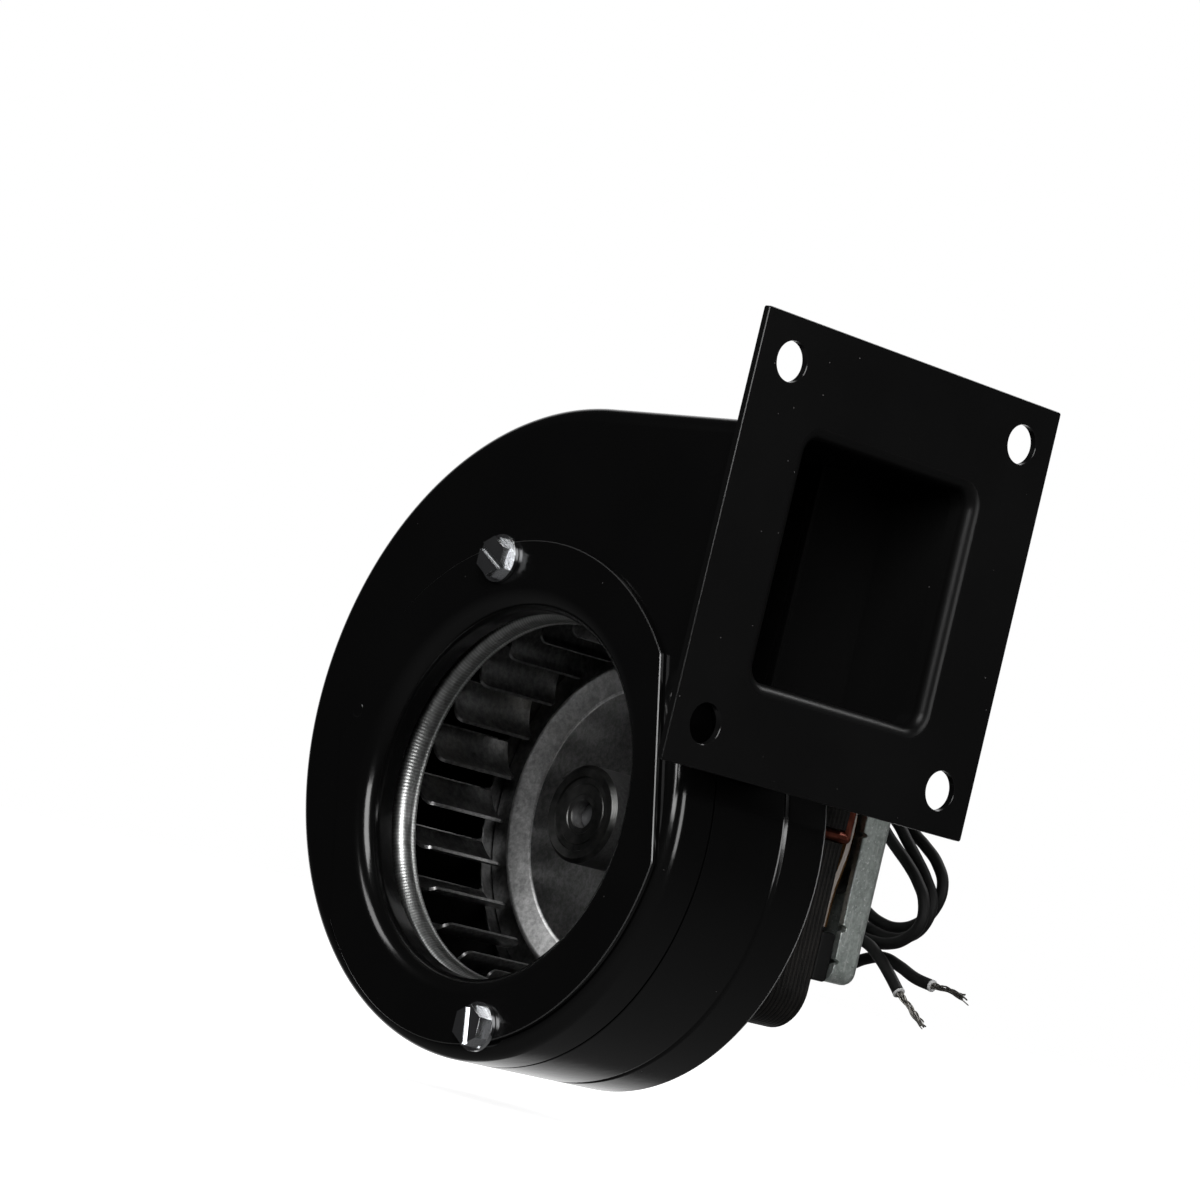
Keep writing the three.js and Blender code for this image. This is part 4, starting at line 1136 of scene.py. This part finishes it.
def add_bracket(node, floor, edge):
    """A pressed pan round a bearing, with a sheared skirt edge that is a little ragged."""
    s = Solid()
    half_x, half_z, sheet, corner = 30.2, 19.0, 1.4, 2.5
    way = 1 if edge > floor else -1
    bend = 1.9

    def chain(inset):
        x1, x0 = AXIS.x + half_x - inset, AXIS.x - half_x + inset
        z1, z0 = AXIS.z + half_z - inset, AXIS.z - half_z + inset
        r = max(corner - inset, 0.5)
        points = arc(x1 - r, z0 + r, r, -90, 0, 5)
        points += [(x1, z) for z in side_stops]
        points += arc(x1 - r, z1 - r, r, 0, 90, 5) + arc(x0 + r, z1 - r, r, 90, 180, 5)
        return points + arc(x0 + r, z0 + r, r, 180, 270, 5)

    rng = random.Random(node)
    side_stops = [AXIS.z - half_z + 3 + i * 0.35 for i in range(93)]
    nicks = (-64.9, -58.8, -41.5)
    ragged = [
        0.1 * rng.random() + (1.0 if min(abs(z - nick) for nick in nicks) < 0.4 else 0) for z in side_stops
    ]

    def ring(inset, y, at_edge=False):
        points = chain(inset)
        placed = []
        for i, (x, z) in enumerate(points):
            shift = 0.0
            if at_edge and x > AXIS.x:
                shift = 0.6 * max(0.0, (AXIS.z + half_z - z) / (2 * half_z)) - 0.1
                if 6 <= i < 6 + len(side_stops):
                    shift += ragged[i - 6]
                shift = max(shift, 0.0)
            placed.append((x, y - way * shift, z))
        return s.ring(placed)

    outer = fillet(0, floor, bend, way * bend, 6)
    inner_bend = bend - sheet
    inner = fillet(sheet, floor + way * sheet, inner_bend, way * inner_bend, 3)
    rows = [ring(i, y) for i, y in outer]
    lips = ((0, edge - way * 0.15), (0.15, edge), (sheet - 0.15, edge), (sheet, edge - way * 0.15))
    rows += [ring(inset, y, True) for inset, y in lips]
    rows += [ring(i, y) for i, y in reversed(inner)]
    s.skin(rows)
    pierce(s, rows, floor, floor + way * sheet, 5.65, 48)
    dress(s.object(node + "_look", BRACKET_ZINC, 35), "bracket_zinc", node)


# ---------- small turned and cut pieces, from their CAD solids with their edges eased ----------
def ease(node, width):
    """A copy of a CAD solid whose sharp edges are rounded, for pieces that have no other finer shape."""
    bm = bmesh.new()
    bm.from_mesh(frame["nodes"][node].data)
    bmesh.ops.remove_doubles(bm, verts=bm.verts, dist=1e-6)
    bmesh.ops.dissolve_limit(bm, angle_limit=radians(1), verts=bm.verts, edges=bm.edges)
    if width:
        round_off(bm, 30, width * MM)
    bmesh.ops.recalc_face_normals(bm, faces=bm.faces)
    shade(bm, 30)
    mesh = bpy.data.meshes.new(node + "_look")
    bm.to_mesh(mesh)
    bm.free()
    slot = SLOT_OF[node]
    mesh.materials.append(SLOT_MATERIAL[slot])
    # The side plate's faces towards the scroll take the painted shade copy.
    if node == "motor_side_plate":
        mesh.materials.append(INSIDE_SHADE_ENAMEL)
        for polygon in mesh.polygons:
            polygon.material_index = int(polygon.normal.y < 0.3)
    on_rotor = node in frame["record"]["behaviour"]["bodies"]["rotor"]
    dress(ride(node + "_look", mesh, "rotor" if on_rotor else "housing"), slot, node)


add_inlet_shell()
add_scroll_shell()
add_flange()
add_inlet_plate()
add_blade_cage()
add_front_ring()
add_back_plate()
add_hub()
add_stator()
add_bracket("bracket_rear", 46.6, 39.3)
add_bracket("bracket_front", 14.0, 18.0)
EASED = {
    "inlet_screw_upper": 0.05, "inlet_screw_lower": 0.05, "motor_side_plate": 0.15, "hub_set_screw": 0.08,
    "coil_core_bar": 0.2, "coil_bobbin": 0.25, "coil_winding": 0.6, "terminal_block": 0.5,
    "through_bolt_outlet_side": 0.12, "through_bolt_far_side": 0.12, "motor_shaft": 0, "rotor_core": 0.15,
}
for node_name, width in EASED.items():
    ease(node_name, width)


# ---------- studio ----------
FLOOR_Z = -104.0
FLOOR_REACH = 9000
BLOWER_MIDDLE = Vector((-45, -5, -40))


def add_floor():
    """A pale floor that fades to white away from the blower."""
    reach, z = FLOOR_REACH * MM, FLOOR_Z * MM
    mesh = bpy.data.meshes.new("floor")
    mesh.from_pydata([(-reach, -reach, z), (reach, -reach, z), (reach, reach, z), (-reach, reach, z)], [], [range(4)])
    n = Nodes("pale_floor")
    away = n.add("ShaderNodeVectorMath", Vector=n.coord)
    away.operation = "DISTANCE"
    away.inputs[1].default_value = (AXIS.x * MM, 0, z)
    glow = n.step(away.outputs["Value"], 0.08, 0.3, 0.86, 1)
    grain = n.noise(30, 3)
    n.shader(Base_Color=n.mix(grain, grey(0.62), grey(0.66)), Emission_Color=glow, Roughness=0.85)
    n.shader(Emission_Strength=1.0)
    mesh.materials.append(n.material)
    floor = place("floor", mesh)
    floor.visible_glossy = False
    floor.visible_diffuse = False


def add_softbox(name, azimuth, elevation, distance, width, height, power):
    """An area light that looks at the blower from an azimuth and an elevation."""
    back = looking_back(azimuth, elevation)
    data = bpy.data.lights.new(name, "AREA")
    data.shape = "RECTANGLE"
    data.size, data.size_y = width, height
    data.energy = power
    lamp = place(name, data)
    lamp.location = BLOWER_MIDDLE * MM + back * distance
    lamp.rotation_euler = back.to_track_quat("Z", "Y").to_euler()


def add_world():
    """White behind the blower and all round for the eye, dark where the studio is, a little lighter below."""
    world = bpy.data.worlds.new("studio")
    world.use_nodes = True
    n = Tree(world.node_tree)
    links = n.tree.links
    sky = n.tree.nodes["Background"]
    way = n.add("ShaderNodeTexCoord").outputs["Generated"]
    behind = n.add("ShaderNodeVectorMath", Vector=way)
    behind.operation = "DOT_PRODUCT"
    behind.inputs[1].default_value = (-0.745, 0.664, 0.06)
    backdrop = n.step(behind.outputs["Value"], 0.76, 0.96)
    down = n.product(n.add("ShaderNodeSeparateXYZ", Vector=way).outputs["Z"], -1)
    below = n.ramp(down, (0.0, (0.012, 0.012, 0.0125)), (0.7, grey(0.1)))
    n.set(sky, "Color", n.mix(1, backdrop, below, "ADD"))
    white = n.add("ShaderNodeBackground", Color=(1, 1, 1, 1))
    mix = n.add("ShaderNodeMixShader", Fac=n.add("ShaderNodeLightPath").outputs["Is Camera Ray"])
    links.new(sky.outputs["Background"], mix.inputs[1])
    links.new(white.outputs["Background"], mix.inputs[2])
    links.new(mix.outputs["Shader"], n.tree.nodes["World Output"].inputs["Surface"])
    bpy.context.scene.world = world
    bpy.context.scene.view_settings.view_transform = "Standard"


add_floor()
add_softbox("front_softbox", 39, 27, 1.1, 0.45, 0.75, 8)
add_softbox("top_softbox", 180, 48, 1.2, 0.5, 0.5, 5)
add_softbox("side_softbox", 100, 12, 1.4, 0.5, 0.8, 6)
add_softbox("fill_softbox", -24, 27, 1.2, 0.36, 0.36, 2)
add_world()
